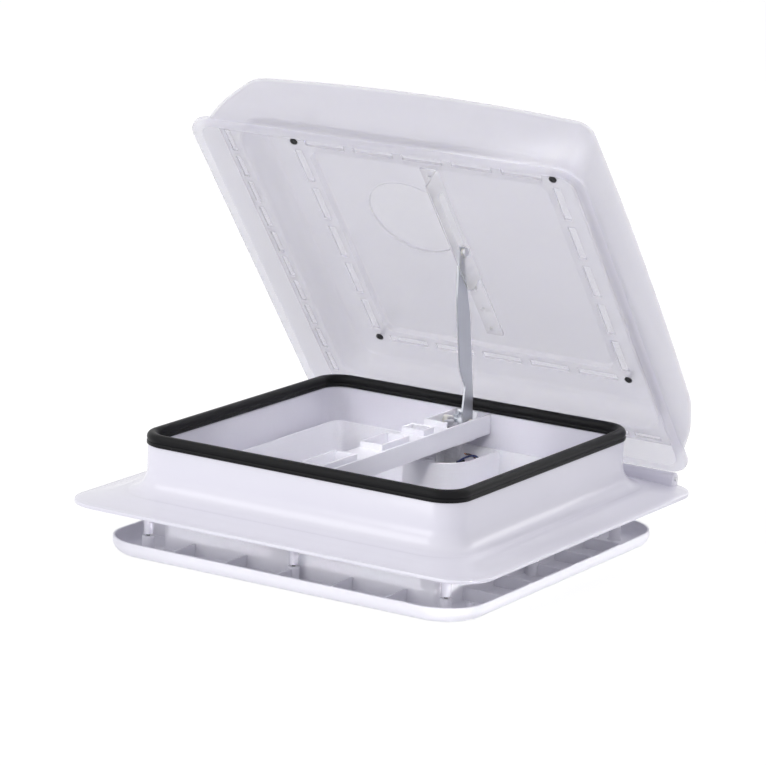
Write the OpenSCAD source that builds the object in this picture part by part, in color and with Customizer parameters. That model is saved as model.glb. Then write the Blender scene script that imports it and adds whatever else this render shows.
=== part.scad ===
// Roof vent for a caravan, 14 inch opening: roof frame, ceiling trim, translucent lid and lift arm.
// Millimetres. The roof skin is at z = 0, the lid hinges at the back (+Y) and stands open.

/* [Roof frame] */
// Width of the collar over its outer faces
collar_w = 358; // [354:1:362]
// Reach of the roof flange beyond the collar
flange_reach = 52.5; // [49:0.5:58]
// Corner radius of the roof flange
flange_r = 38; // [34:1:46]
// Thickness of the flange at its edge
flange_t = 3.5; // [3:0.5:5]
// Height of the flange where it meets the collar's hollow curve
flange_rise = 11; // [9:0.5:13]
// Outer corner radius of the collar
collar_r = 29; // [26:1:32]
// Wall of the collar
collar_wall = 8; // [6:0.5:9]
// Height of the collar above the roof
collar_h = 58; // [54:1:62]
// Radius of the hollow curve between flange and collar
cove_r = 22; // [16:1:24]
// Radius of a screw post
post_r = 4.75; // [4:0.25:6]
// Distance of the screw posts inside the collar's outer faces
post_in = 10.5; // [9:0.5:12]
// Length of the screw posts below the roof skin
post_len = 32.5; // [28:0.5:40]

/* [Rim seal] */
// Radius of the seal's round bulb
bulb_r = 5.3; // [4.5:0.1:6]
// Width of the seal's foot
seal_foot_w = 10.5; // [9:0.5:12]
// Height of the seal's foot
seal_foot_h = 3.6; // [3:0.2:4]
// Depth that the bulb is sunk into the foot
bulb_sink = 2.2; // [1:0.1:3]

/* [Ceiling trim] */
// Reach of the trim's rim beyond the collar
trim_reach = 27; // [23:1:31]
// Corner radius of the trim's rim
trim_r = 45; // [40:1:50]
// Height of the trim's outer wall
trim_h = 16; // [14:0.5:20]
// Height of the sloped foot of the outer wall
trim_slope_h = 7; // [4:0.5:8]
// Inward slope of the foot of the outer wall
trim_slope_in = 8; // [4:0.5:10]
// Gap between a post and its boss, where the screw shows
boss_gap = 1.5; // [1:0.25:3]
// Wall of the trim
trim_wall = 2.5; // [2:0.25:3]
// Gap between the collar's bore and the neck that stands in it
neck_gap = 11; // [10:0.5:13]
// Corner radius of the neck
neck_r = 12; // [10:1:20]
// Height of the neck's upper edge above the roof skin
neck_top = 24.5; // [20:0.5:26]
// Width of the lip that carries the fly screen
screen_lip = 14; // [12:0.5:16]
// Radius of a screw boss
boss_r = 6; // [5.5:0.25:6.5]
// Spacing of the ribs in the tray
rib_pitch = 60; // [50:5:65]
// Thickness of the ribs
rib_t = 3; // [2:0.25:4]
// Height of the ribs
rib_h = 12; // [8:0.5:13]
// Outer radius of the well's round end
well_r = 38; // [36:1:42]
// Distance of the well's round end from the neck's back face, at its centre
well_in = 56; // [52:1:60]
// Radius of the pillar in the well
pillar_r = 8; // [6:0.5:9]

/* [Fly screen] */
// Thickness of the screen's frame
screen_t = 4.5; // [4:0.25:6]
// Width of the frame's bars
screen_bar = 9; // [8:0.5:12]
// Gaps of the net along its width
net_columns = 17; // [10:1:17]
// Gaps of the net along its depth
net_rows = 12; // [8:1:12]
// Width of the net's strands
strand_w = 0.9; // [0.7:0.1:1.2]
// Thickness of the net
net_t = 0.8; // [0.6:0.1:1]

/* [Cross beam] */
// Left face of the beam
beam_left = -23; // [-26:0.5:-22]
// Right face of the beam
beam_right = 18; // [17:0.5:20]
// Drop from the collar's edge to the beam's underside
beam_drop = 21.5; // [21:0.5:23]
// Height of the beam
beam_h = 20.5; // [19:0.5:21]
// Wall of the beam
beam_wall = 2.5; // [2:0.25:3]
// Depth of the shelf that carries each end of the beam
shelf_d = 9; // [7:0.5:9.5]

/* [Lift operator] */
// Distance of the arm's pivot from the collar's bore
pivot_in = 28; // [26:0.5:30]
// Height of the arm's pivot above the beam's underside
pivot_lift = 14; // [14:0.25:14.5]
// Diameter of the pivot pin
pivot_d = 6; // [5:0.25:6]
// Module of the worm gearing
gear_module = 1.5; // [1.4:0.05:1.5]
// Teeth on the full circle of the sector gear
gear_teeth = 16; // [15:1:16]
// Pitch radius of the worm
worm_r = 5.5; // [5:0.25:5.5]
// Middle plane of the worm and the sector gear
gear_x = -3; // [-3.5:0.25:-3]
// Thickness of the sector gear
gear_t = 4; // [3:0.25:4]
// Play between the gear's flanks and the worm's
backlash = 1.2; // [1:0.1:1.3]
// Diameter of the motor shaft
shaft_d = 6; // [5:0.25:6]
// Diameter of the lift motor
motor_d = 26; // [22:1:28]
// Length of the lift motor below its flange
motor_len = 41; // [34:1:44]
// Diameter of the hand knob
knob_d = 44; // [36:1:46]
// Height of the hand knob
knob_h = 20; // [14:1:22]

/* [Lift arm] */
// Right face of the arm
arm_x = 7.6; // [7.4:0.1:8]
// Thickness of the arm
arm_t = 2.2; // [2:0.1:2.5]
// Width of the arm's bar
arm_w = 23; // [20:0.5:23]
// Radius of the arm's tip
arm_tip_r = 5; // [4.5:0.25:5]
// Diameter of the tip pin
tip_d = 5; // [4.5:0.25:5]
// Outer diameter of the slide roller
roller_d = 7; // [6.5:0.25:7]

/* [Lid] */
// Angle to which the lid stands open
open_angle = 51; // [48:0.5:54]
// Distance of the hinge rod from the flange's back edge
hinge_in = 11.5; // [10.5:0.5:12.5]
// Distance of the hinge rod below the brim's underside
hinge_drop = 8.67; // [8.4:0.01:8.9]
// Diameter of the hinge rod
rod_d = 5; // [4.5:0.25:5]
// Radius of the hinge knuckles
knuckle_r = 6.2; // [5.8:0.1:6.2]
// Gap between the closed lid's panel and the seal
seal_gap = 0.4; // [0.4:0.1:1]
// Height of the brim's underside above the roof skin, closed
brim_z = 20.4; // [20:0.1:21]
// Reach of the brim behind the hinge rod
brim_over = 2; // [1:0.25:3]
// Corner radius of the brim
brim_r = 28; // [24:1:32]
// Thickness of the brim
brim_t = 4; // [3:0.5:4]
// Reach of the brim beyond the dome
brim_reach = 9; // [8.5:0.25:10]
// Corner radius of the dome where it leaves the brim
dome_r = 18; // [16:1:22]
// Height of the dome's upright wall above the brim, up to the sloped sides
dome_wall_h = 36; // [32:1:40]
// Inward lean of the upright wall over that height
dome_lean = 3.6; // [3:0.1:4]
// Inward lean of the sloped sides up to the level of the crown's top
shoulder_lean = 26; // [22:1:30]
// Height of the crown above the lid panel
crown_h = 54; // [50:0.5:58]
// Radius of the crowned top
crown_r = 1700; // [1600:1:1800]
// Wall of the lid's shell and panel
lid_wall = 2.5; // [2:0.25:3]
// Distance of the panel's upright walls outside the collar
panel_reach = 11; // [10:0.5:13]
// Corner radius of the panel
panel_r = 26; // [22:1:30]
// Depth of the panel's upright walls
panel_drop = 28; // [24:1:30]
// Distance of the raised field inside the panel's upright walls
field_in = 55; // [53:0.5:58]
// Corner radius of the raised field
field_r = 12; // [10:1:16]
// Height of the field above the rest of the panel
field_h = 6; // [5:0.5:7]
// Distance of the panel screws inside the panel's upright walls
panel_screw_in = 42.65; // [41:0.05:44]
// Diameter of the plain disc on the panel
disc_d = 102; // [80:1:106]

/* [Slide rail] */
// Thickness of the rail's base
rail_base_t = 3; // [2.5:0.25:3]
// Width of the rail's base
rail_base_w = 19.2; // [16:0.2:22]
// Thickness of the rail's fin
fin_t = 1.8; // [1.6:0.1:1.8]
// Height of the rail's fin
fin_h = 22; // [20:0.5:23]
// Distance of the slot below the lid panel's underside
slot_drop = 3.5; // [3.5:0.25:4]
// Width of the slot
slot_w = 9.6; // [9.6:0.1:10]
// Place of the tip pin along the lid when it stands open
tip_v = -20; // [-24:1:-18]

/* [Fits] */
// Running clearance of pins and shafts, on the radius
run_fit = 0.05; // [0.03:0.01:0.08]
// Side gap between moving pieces
side_gap = 0.8; // [0.5:0.1:1]
// Gap between pieces of one body that lie side by side
seat_gap = 0.2; // [0.1:0.05:0.3]
// Shank diameter of the screws
screw_d = 4; // [3.5:0.25:4]

/* [Hidden] */
$fn = 48;

white = "whitesmoke";
steel = "silver";
frosted = [0.85, 0.85, 0.9];
eps = 0.01;

// Screw heads: radius and height
head_r = 4;
head_h = 2.4;
small_d = 3;
small_head_r = 2.8;
small_head_h = 1.8;

// Roof frame
collar_half = collar_w / 2;
flange_half = collar_half + flange_reach;
collar_c = collar_half - collar_r;
bore_half = collar_half - collar_wall;
bore_r = collar_r - collar_wall;
post_top = 16;
inner_wall = 3;
frame_wall = 4;
hollow_end = 200;
post_bore = 20;
post_at = collar_half - post_in;
post_places = [for (ix = [-1, 0, 1]) for (iy = [-1, 0, 1]) if (ix != 0 || iy != 0) [ix, iy] * post_at];
pilot_d = screw_d + 2 * run_fit;
small_pilot_d = small_d + 2 * run_fit;

// Rim seal: the bulb's centre lies over the middle of the collar wall
seal_x = collar_r - collar_wall / 2;
bulb_z = collar_h + seal_foot_h + bulb_r - bulb_sink;

// Ceiling trim
trim_half = collar_half + trim_reach;
boss_top = -post_len - boss_gap;
trim_top = boss_top - seat_gap;
trim_z = trim_top - trim_h;
floor_z = trim_z + trim_wall;
neck_half = bore_half - neck_gap;
neck_bore = neck_half - trim_wall;
lip_half = neck_bore - screen_lip;
well_y = neck_half - well_in;
deck_gap = 6;
deck_y = well_y - well_r - deck_gap;
screen_back = deck_y - 3;
rib_count = floor(post_at / rib_pitch);
pillar_y = well_y - well_r + trim_wall + pillar_r - 1;
stud_out = 22;
stud_in = 23.5;
stud_at = [neck_half + stud_out, stud_in - post_at];
stud_r = 4;
stud_h = 9;

// Fly screen
screen_half = neck_bore - (neck_r - trim_wall) * (1 - cos(45)) - 0.7;
screen_z = floor_z;
rebate_w = 3;
net_z = screen_z + 1.9;
net_half = screen_half - screen_bar + rebate_w - seat_gap;
net_back = screen_back - screen_bar + rebate_w - seat_gap;
net_front = -net_half;
net_border = 3.4;
screen_screw_in = screen_bar / 2 - 1;
screen_screw_y = [-screen_half + screen_screw_in, screen_back - screen_screw_in];
screen_screw_places = [for (sx = [-1, 1]) for (y = screen_screw_y) [sx * (screen_half - screen_screw_in), y]];

// Cross beam
beam_z = collar_h - beam_drop;
beam_top = beam_z + beam_h;
beam_floor = beam_z + beam_wall;
beam_end = bore_half - seat_gap;
ledge_drop = 6;
ledge_z = beam_top - ledge_drop;
// Pockets along the left side, from and to, as shares of half the beam
pocket_shares = [[-0.738, -0.381], [-0.105, 0.193], [0.363, 0.48]];
pockets = [for (share = pocket_shares) share * beam_end];
hollow_in = 24;
shelf_left = beam_left + 5;
shelf_w = 19;
shelf_right = shelf_left + shelf_w;
shelf_h = 10;
beam_screw_x = [shelf_left + 4.5, shelf_right - 4.5];
beam_screw_y = bore_half - shelf_d / 2;

// Worm gearing
pivot_y = bore_half - pivot_in;
pivot_z = beam_z + pivot_lift;
pitch_r = gear_module * gear_teeth / 2;
worm_y = pivot_y - pitch_r - worm_r;
worm_pitch = PI * gear_module;
tooth_half = (worm_pitch - backlash) / 4;
flank = tan(20);
gear_tip = pitch_r + 0.93 * gear_module;
gear_root = pitch_r - 1.2 * gear_module;
worm_tip = worm_r + gear_module;
worm_root = worm_r - 1.27 * gear_module;
worm_low = beam_floor + 2.5;
worm_high = beam_top + 1;
thread_steps = 20;
sector_first = -1;
sector_last = 4;
tooth_angle = 360 / gear_teeth;
hub_r = 9;
gear_bay_gap = 19.5;
gear_bay_y = worm_y - gear_bay_gap;
motor_flange = [34, 40, 3];
motor_screw_at = [13, 13.5];
motor_z = beam_z - motor_flange[2];
motor_low = motor_z - motor_len;
knob_z = trim_z + 6;
knob_top_d = 16;
knob_flutes = 10;
flute_r = 4;

// Lid, drawn closed and then opened about the hinge
hinge_y = flange_half - hinge_in;
hinge_z = brim_z - hinge_drop;
panel_z = bulb_z + bulb_r + seal_gap;
brim_half = hinge_y + brim_over;
dome_half = brim_half - brim_reach;
dome_z = brim_z + brim_t;
dome_slope = dome_lean / dome_wall_h;
dome_top = panel_z + crown_h;
dome_top_half = dome_half - dome_slope * (dome_top - dome_z);
shoulder_z = dome_z + dome_wall_h;
shoulder_slope = shoulder_lean / (dome_top - shoulder_z);
shoulder_top_half = dome_half - dome_lean - shoulder_lean;
shoulder_foot_half = dome_half - dome_lean + shoulder_slope * dome_wall_h;
panel_half = collar_half + panel_reach;
panel_screw_at = panel_half - panel_screw_in;
panel_low = panel_z - panel_drop;
foot_half = dome_half - dome_slope * (panel_low + lid_wall - dome_z) - lid_wall - seat_gap - 0.3;
foot_r = dome_r - (dome_half - foot_half);
field_half = panel_half - field_in;
field_z = panel_z + field_h;
crown_steps = 200;
lid_boss_r = 5;
crown_sag = crown_r - sqrt(crown_r * crown_r - 2 * panel_screw_at * panel_screw_at);
panel_screw_len = 12;
lid_boss_top = dome_top - crown_sag - lid_wall / 2;

// Hinge: the frame's and the lid's knuckles by turns, split at shares of the hinge's half length
knuckle_gap = 1;
knuckle_in = 24.5;
hinge_half = flange_half - knuckle_in;
knuckle_mid = hinge_half * 5 / 23;
knuckle_end = hinge_half * 14 / 23;
frame_knuckles = [[-hinge_half, -knuckle_end], [-knuckle_mid, knuckle_mid], [knuckle_end, hinge_half]];
leaf_from = knuckle_mid + knuckle_gap;
leaf_to = knuckle_end - knuckle_gap;
lid_knuckles = [[-leaf_to, -leaf_from], [leaf_from, leaf_to]];
leaf_t = 2.5;
leaf_front = dome_half + 0.5;
leaf_screw_pitch = 0.38 * (leaf_to - leaf_from);
leaf_screw_x = [-leaf_screw_pitch, 0, leaf_screw_pitch];
leaf_screw_y = brim_half - 4.8;
leaf_screw_in = 4.8;
leaf_screw_places = [for (s = lid_knuckles) for (x = leaf_screw_x) [(s[0] + s[1]) / 2 + x, leaf_screw_y]];

// Rows of shallow dashes under the panel and under its foot
dash_deep = 1;
inner_count = 5;
outer_count = 10;
inner_row_in = 7.6;
outer_row_in = 13.55;
outer_dash_at = (panel_half + foot_half) / 2 + 0.5;
inner_pitch = 2 * (panel_screw_at - inner_row_in) / inner_count;
outer_pitch = 2 * (outer_dash_at - outer_row_in) / outer_count;
inner_dash = [inner_pitch - 10.5, 9];
outer_dash = [outer_pitch - 7, 7];
disc_t = 0.8;
disc_u = -43;
disc_v = -49;

// Slide rail, in the closed lid
rail_z = field_z - rail_base_t;
fin_x = arm_x + side_gap;
rail_front_gap = 5;
rail_back_gap = 20;
rail_front = rail_front_gap - field_half;
rail_back = field_half - rail_back_gap;
fin_past_tip = 48;
fin_back = tip_v + fin_past_tip;
fin_round = fin_h / 2;
slot_z = panel_z - slot_drop;
slot_margin = 30;
slot_front = rail_front + slot_margin;
slot_back = tip_v + roller_d / 2 - slot_w / 2 + 0.4;
rail_screw_in = 10;
rail_screw_pitch = 30;
rail_screw_back = rail_back - rail_screw_in;
rail_screw_y = concat([rail_front + rail_screw_in],
    [for (k = [2, 1, 0]) rail_screw_back - k * rail_screw_pitch]);
rail_screw_x = -1;

// Lift arm: from the pivot to the tip pin with the lid open
lid_arm = [tip_v - hinge_y, slot_z - hinge_z];
tip_y = hinge_y + lid_arm[0] * cos(open_angle) + lid_arm[1] * sin(open_angle);
tip_z = hinge_z - lid_arm[0] * sin(open_angle) + lid_arm[1] * cos(open_angle);
arm_len = norm([tip_y - pivot_y, tip_z - pivot_z]);
arm_angle = atan2(tip_z - pivot_z, pivot_y - tip_y);
arm_left = arm_x - arm_t;
arm_foot = [16, 10];
arm_waist = [41, 2.5];
arm_back_from = 30;
arm_bar_from = 63;
arm_taper = [45, 75];
arm_tip_flat = 12;
divider_x = arm_left - 1.6 - side_gap - beam_wall;
roller_w = fin_t + side_gap;
pin_head_t = 2;
pin_skin = 1;
pin_end = beam_right - pin_skin;
clip_t = 1.2;
clip_right = beam_right - beam_wall - seat_gap;
rivet_d = 3;
rivet_at = 6;
rivet_head_t = 1.2;
spacer_gap = 0.4;

// Motor leads: route points from the grommet, chosen by hand
lead_r = 1;
grommet = [3, 11, 6];
grommet_z = 13;
motor_side = gear_x + motor_d / 2;
lead_start = [motor_side + grommet[0], worm_y, grommet_z];
blue_steps = [[0, -3, 0], [3, -3, 0], [7.5, -4.5, -0.5], [12, -5, 0], [16, -3.5, 1], [18.5, 0, 3.5],
    [17, 3, 7], [13.5, 2, 9.5], [10.5, -3, 10], [9, -9.5, 9.5], [8, -16.5, 8.5], [6.5, -23, 6],
    [4, -28.5, 2], [0.5, -33, -4], [-3, -36.5, -10.5], [-5.5, -39, -17], [-7, -40, -24],
    [-7.5, -40.5, -30.5]];
brown_steps = [[0, 3, 0], [2, 3, 0], [4.2, 3.4, 0.1], [6.2, 4.6, 0.4], [7.8, 6.4, 0.9], [8.6, 8.7, 1.6],
    [8.6, 11.1, 2.5], [7.6, 13.1, 3.5], [5.8, 14, 4.6], [4, 13.4, 5.8], [2.9, 11.5, 6.9], [2.6, 9.2, 7.8],
    [2.6, 6.8, 8.5], [2.7, 4.5, 9], [2.9, 2.5, 9.5], [3, 0.5, 10.2]];
blue_route = [for (p = blue_steps) lead_start + p];
brown_route = [for (p = brown_steps) lead_start + p];
tip_len = 3;

function arc_points(centre, r, from, to, steps) =
    [for (k = [0 : steps]) let (a = from + (to - from) * k / steps) centre + r * [cos(a), sin(a)]];

// Frames along a route: the mean direction at a point, and two vectors across it
function unit(v) = v / norm(v);
function along(route, k) =
    unit(route[min(k + 1, len(route) - 1)] - route[max(k - 1, 0)]);
function across(direction) = unit(cross(direction, [0.31, 0.52, 0.8]));

// Square with round corners
module rounded_square(half, r) {
    for (sx = [-1, 1]) for (sy = [-1, 1]) translate([sx, sy] * (half - r)) circle(r = r);
    square([2 * half, 2 * (half - r)], center = true);
    square([2 * (half - r), 2 * half], center = true);
}

// Flat plate with round corners between two heights
module plate(half, r, z0, z1) {
    translate([0, 0, z0]) linear_extrude(z1 - z0) rounded_square(half, r);
}

// Block with sloped sides, whose corners are cones about fixed upright lines
module tapered_block(half0, r0, half1, z0, z1) {
    c = half0 - r0;
    profile = [[-half0, z0], [half0, z0], [half1, z1], [-half1, z1]];
    for (sx = [-1, 1]) for (sy = [-1, 1])
        translate([sx * c, sy * c, z0]) cylinder(r1 = r0, r2 = half1 - c, h = z1 - z0);
    rotate([90, 0, 90]) linear_extrude(2 * c, center = true) polygon(profile);
    rotate([90, 0, 0]) linear_extrude(2 * c, center = true) polygon(profile);
}

// Profile carried round a square: x is measured outwards from the corner centre at c
module swept_ring(c) {
    for (turn = [0 : 3]) rotate(90 * turn) {
        translate([c, c, 0]) rotate_extrude(angle = 90) children();
        translate([c, 0, 0]) rotate([90, 0, 0]) linear_extrude(2 * c, center = true) children();
    }
}

// Block given by its lower and upper corners
module block(low, high) {
    translate(low) cube(high - low);
}

// Cylinder along +X from x0 to x1
module rod_x(d, x0, x1) {
    translate([x0, 0, 0]) rotate([0, 90, 0]) cylinder(d = d, h = x1 - x0);
}

// Screw that points up: its head's top is at the origin
module screw_up(d, length, r, h) {
    translate([0, 0, -h]) cylinder(r = r, h = h);
    translate([0, 0, -eps]) cylinder(d = d, h = length + eps);
}

// Closed lid to open lid
module opened() {
    translate([0, hinge_y, hinge_z]) rotate([-open_angle, 0, 0])
        translate([0, -hinge_y, -hinge_z]) children();
}

// Arm plane: children are drawn with x along the arm and y towards the lid, from the arm's right face
module on_arm(right_face) {
    translate([right_face, pivot_y, pivot_z]) rotate([-arm_angle, 0, 0]) rotate([90, 0, -90]) children();
}

// Round lead along a route
module lead(route) {
    sides = 8;
    rings = len(route);
    points = [for (k = [0 : rings - 1]) let (d = along(route, k), u = across(d), v = cross(d, u))
        for (j = [0 : sides - 1]) route[k] + lead_r * (cos(360 * j / sides) * u + sin(360 * j / sides) * v)];
    walls = [for (k = [0 : rings - 2]) for (j = [0 : sides - 1]) for (half = [0, 1])
        let (a = k * sides + j, b = k * sides + (j + 1) % sides)
        half == 0 ? [a, a + sides, b] : [b, a + sides, b + sides]];
    first = [for (j = [1 : sides - 2]) [0, j, j + 1]];
    end = (rings - 1) * sides;
    last = [for (j = [1 : sides - 2]) [end, end + j + 1, end + j]];
    polyhedron(points, concat(walls, first, last));
}

// Thread of the worm: a trapezoid carried along a right-handed helix
module worm_thread() {
    inner = worm_root - 0.6;
    tip_half = tooth_half - (worm_tip - worm_r) * flank;
    root_half = tooth_half + (worm_r - inner) * flank;
    turns = (worm_high - worm_low - 2 * root_half) / worm_pitch;
    rings = floor(turns * thread_steps);
    start = worm_low + root_half;
    // The thread's groove, half a pitch from a crest, faces the gear's middle tooth at the pivot's height
    phase = 90 + 360 * (start - pivot_z - worm_pitch / 2) / worm_pitch;
    section = [[inner, -root_half], [worm_tip, -tip_half], [worm_tip, tip_half], [inner, root_half]];
    points = [for (k = [0 : rings]) let (turned = k / thread_steps, a = 360 * turned + phase)
        for (p = section) [p[0] * cos(a), p[0] * sin(a), start + worm_pitch * turned + p[1]]];
    walls = [for (k = [0 : rings - 1]) for (j = [0 : 3]) for (half = [0, 1])
        let (a = 4 * k + j, b = 4 * k + (j + 1) % 4)
        half == 0 ? [a, b, a + 4] : [b, b + 4, a + 4]];
    last = 4 * rings;
    ends = [[0, 2, 1], [0, 3, 2], [last, last + 1, last + 2], [last, last + 2, last + 3]];
    polyhedron(points, concat(walls, ends));
}

module roof_frame() {
    cove_centre = [collar_r + cove_r, flange_rise + cove_r];
    cove = concat([[bore_r, 0], [collar_r + cove_r, 0]],
        arc_points(cove_centre, cove_r, 270, 180, 10),
        [[collar_r, collar_h], [bore_r, collar_h]]);
    hollow_top = arc_points(cove_centre, cove_r + frame_wall, 270, hollow_end, 8);
    hollow = concat([[bore_r + inner_wall, -1], [collar_r + cove_r, -1]], hollow_top,
        [[bore_r + inner_wall, hollow_top[8][1]]]);
    color(white) difference() {
        union() {
            difference() {
                union() {
                    plate(flange_half, flange_r, 0, flange_t);
                    tapered_block(flange_half, flange_r, collar_half + cove_r, flange_t, flange_rise);
                }
                plate(collar_half + cove_r - eps, collar_r + cove_r, -1, flange_rise + 1);
                for (segment = lid_knuckles)
                    translate([0, hinge_y, hinge_z])
                        rod_x(2 * (knuckle_r + side_gap), segment[0] - knuckle_gap, segment[1] + knuckle_gap);
            }
            difference() {
                swept_ring(collar_c) polygon(cove);
                swept_ring(collar_c) polygon(hollow);
            }
            for (p = post_places)
                translate([p[0], p[1], -post_len]) cylinder(r = post_r, h = post_len + post_top);
            for (side = [0, 1]) mirror([0, side, 0])
                block([shelf_left, bore_half - shelf_d, beam_z - shelf_h],
                    [shelf_right, bore_half + 1, beam_z]);
            for (segment = frame_knuckles) {
                translate([0, hinge_y, hinge_z]) rod_x(2 * knuckle_r, segment[0], segment[1]);
                block([segment[0], hinge_y - knuckle_r, flange_t],
                    [segment[1], hinge_y + knuckle_r, hinge_z]);
            }
        }
        for (p = post_places)
            translate([p[0], p[1], -post_len - 1]) cylinder(d = pilot_d, h = post_bore + 1);
        for (x = beam_screw_x) for (side = [-1, 1])
            translate([x, side * beam_screw_y, beam_z - shelf_h + 1.5])
                cylinder(d = small_pilot_d, h = shelf_h);
        translate([0, hinge_y, hinge_z]) rod_x(rod_d + 2 * run_fit, -flange_half, flange_half);
    }
}

module rim_seal() {
    color("black") swept_ring(collar_c) {
        translate([seal_x - seal_foot_w / 2, collar_h]) square([seal_foot_w, seal_foot_h]);
        translate([seal_x, bulb_z]) circle(r = bulb_r);
    }
}

// Outline of the well seen from above
module well_outline(r, back) {
    translate([0, well_y]) circle(r = r);
    translate([-r, well_y]) square([2 * r, back - well_y]);
}

module inner_trim() {
    sunk = trim_wall / 2;
    rib_low = floor_z - sunk / 2;
    rib_top = floor_z + rib_h;
    sole_half = trim_half - trim_slope_in;
    sole_r = trim_r - trim_slope_in;
    slope_z = trim_z + trim_slope_h;
    rib = [[neck_half - sunk, rib_low], [sole_half, rib_low], [trim_half - sunk, slope_z],
        [trim_half - sunk, rib_top], [neck_half - sunk, rib_top]];
    color(white) difference() {
        union() {
            difference() {
                union() {
                    tapered_block(sole_half, sole_r, trim_half, trim_z, slope_z);
                    plate(trim_half, trim_r, slope_z, trim_top);
                }
                tapered_block(sole_half, sole_r, trim_half - trim_wall, floor_z, slope_z);
                plate(trim_half - trim_wall, trim_r - trim_wall, slope_z - eps, trim_top + 1);
            }
            difference() {
                plate(neck_half, neck_r, trim_z, neck_top);
                plate(neck_bore, neck_r - trim_wall, floor_z, neck_top + 1);
            }
            translate([0, 0, trim_z]) linear_extrude(neck_top - trim_z)
                well_outline(well_r, neck_half - trim_wall / 2);
            for (turn = [0 : 3]) rotate(90 * turn)
                for (k = [-rib_count : rib_count])
                    translate([k * rib_pitch, 0, 0]) rotate([90, 0, 90])
                        linear_extrude(rib_t, center = true) polygon(rib);
            for (turn = [0 : 3]) rotate(90 * turn)
                translate([stud_at[0], stud_at[1], trim_z]) cylinder(r = stud_r, h = stud_h);
            for (p = post_places)
                translate([p[0], p[1], trim_z]) cylinder(r = boss_r, h = boss_top - trim_z);
        }
        block([-lip_half, -lip_half, trim_z - 1], [lip_half, deck_y - screen_lip, floor_z + 1]);
        difference() {
            translate([0, 0, trim_z - 1]) linear_extrude(neck_top - trim_z + 2)
                well_outline(well_r - trim_wall, neck_bore);
            translate([0, pillar_y, trim_z]) cylinder(r = pillar_r, h = neck_top + 1 - trim_z);
        }
        for (p = post_places) {
            translate([p[0], p[1], trim_z - 1]) cylinder(d = pilot_d, h = trim_h + 5);
            translate([p[0], p[1], trim_z - 1]) cylinder(r = head_r + seat_gap, h = head_h + 1);
        }
        for (turn = [0 : 3]) rotate(90 * turn)
            translate([stud_at[0], stud_at[1], floor_z]) cylinder(d = small_pilot_d, h = stud_h);
        for (p = screen_screw_places)
            translate([p[0], p[1], trim_z + 0.5]) cylinder(d = small_pilot_d, h = trim_wall + 1);
    }
}

module trim_screws() {
    length = boss_top - trim_z + boss_gap + post_bore - 4;
    color("dimgray") for (p = post_places)
        translate([p[0], p[1], trim_z + head_h]) screw_up(screw_d, length, head_r, head_h);
}

module screen_frame() {
    inside = screen_half - screen_bar;
    back_in = screen_back - screen_bar;
    color(white) difference() {
        block([-screen_half, -screen_half, screen_z], [screen_half, screen_back, screen_z + screen_t]);
        block([-inside, -inside, screen_z - 1], [inside, back_in, screen_z + screen_t + 1]);
        block([-inside - rebate_w, -inside - rebate_w, net_z],
            [inside + rebate_w, back_in + rebate_w, screen_z + screen_t + 1]);
        for (p = screen_screw_places)
            translate([p[0], p[1], screen_z - 1]) cylinder(d = small_pilot_d, h = screen_t + 2);
    }
}

module screen_mesh() {
    column_pitch = (2 * net_half - 2 * net_border + strand_w) / net_columns;
    row_pitch = (net_back - net_front - 2 * net_border + strand_w) / net_rows;
    gap_w = column_pitch - strand_w;
    gap_d = row_pitch - strand_w;
    color("darkgray") difference() {
        block([-net_half, net_front, net_z], [net_half, net_back, net_z + net_t]);
        for (i = [0 : net_columns - 1]) for (j = [0 : net_rows - 1])
            translate([i * column_pitch - net_half, j * row_pitch + net_front, net_z - 1])
                translate([net_border, net_border, 0]) cube([gap_w, gap_d, net_t + 2]);
    }
}

module screen_screws() {
    color(steel) for (p = screen_screw_places)
        translate([p[0], p[1], screen_z + screen_t]) rotate([180, 0, 0])
            screw_up(small_d, screen_t + 1.5, small_head_r, small_head_h);
}

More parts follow.
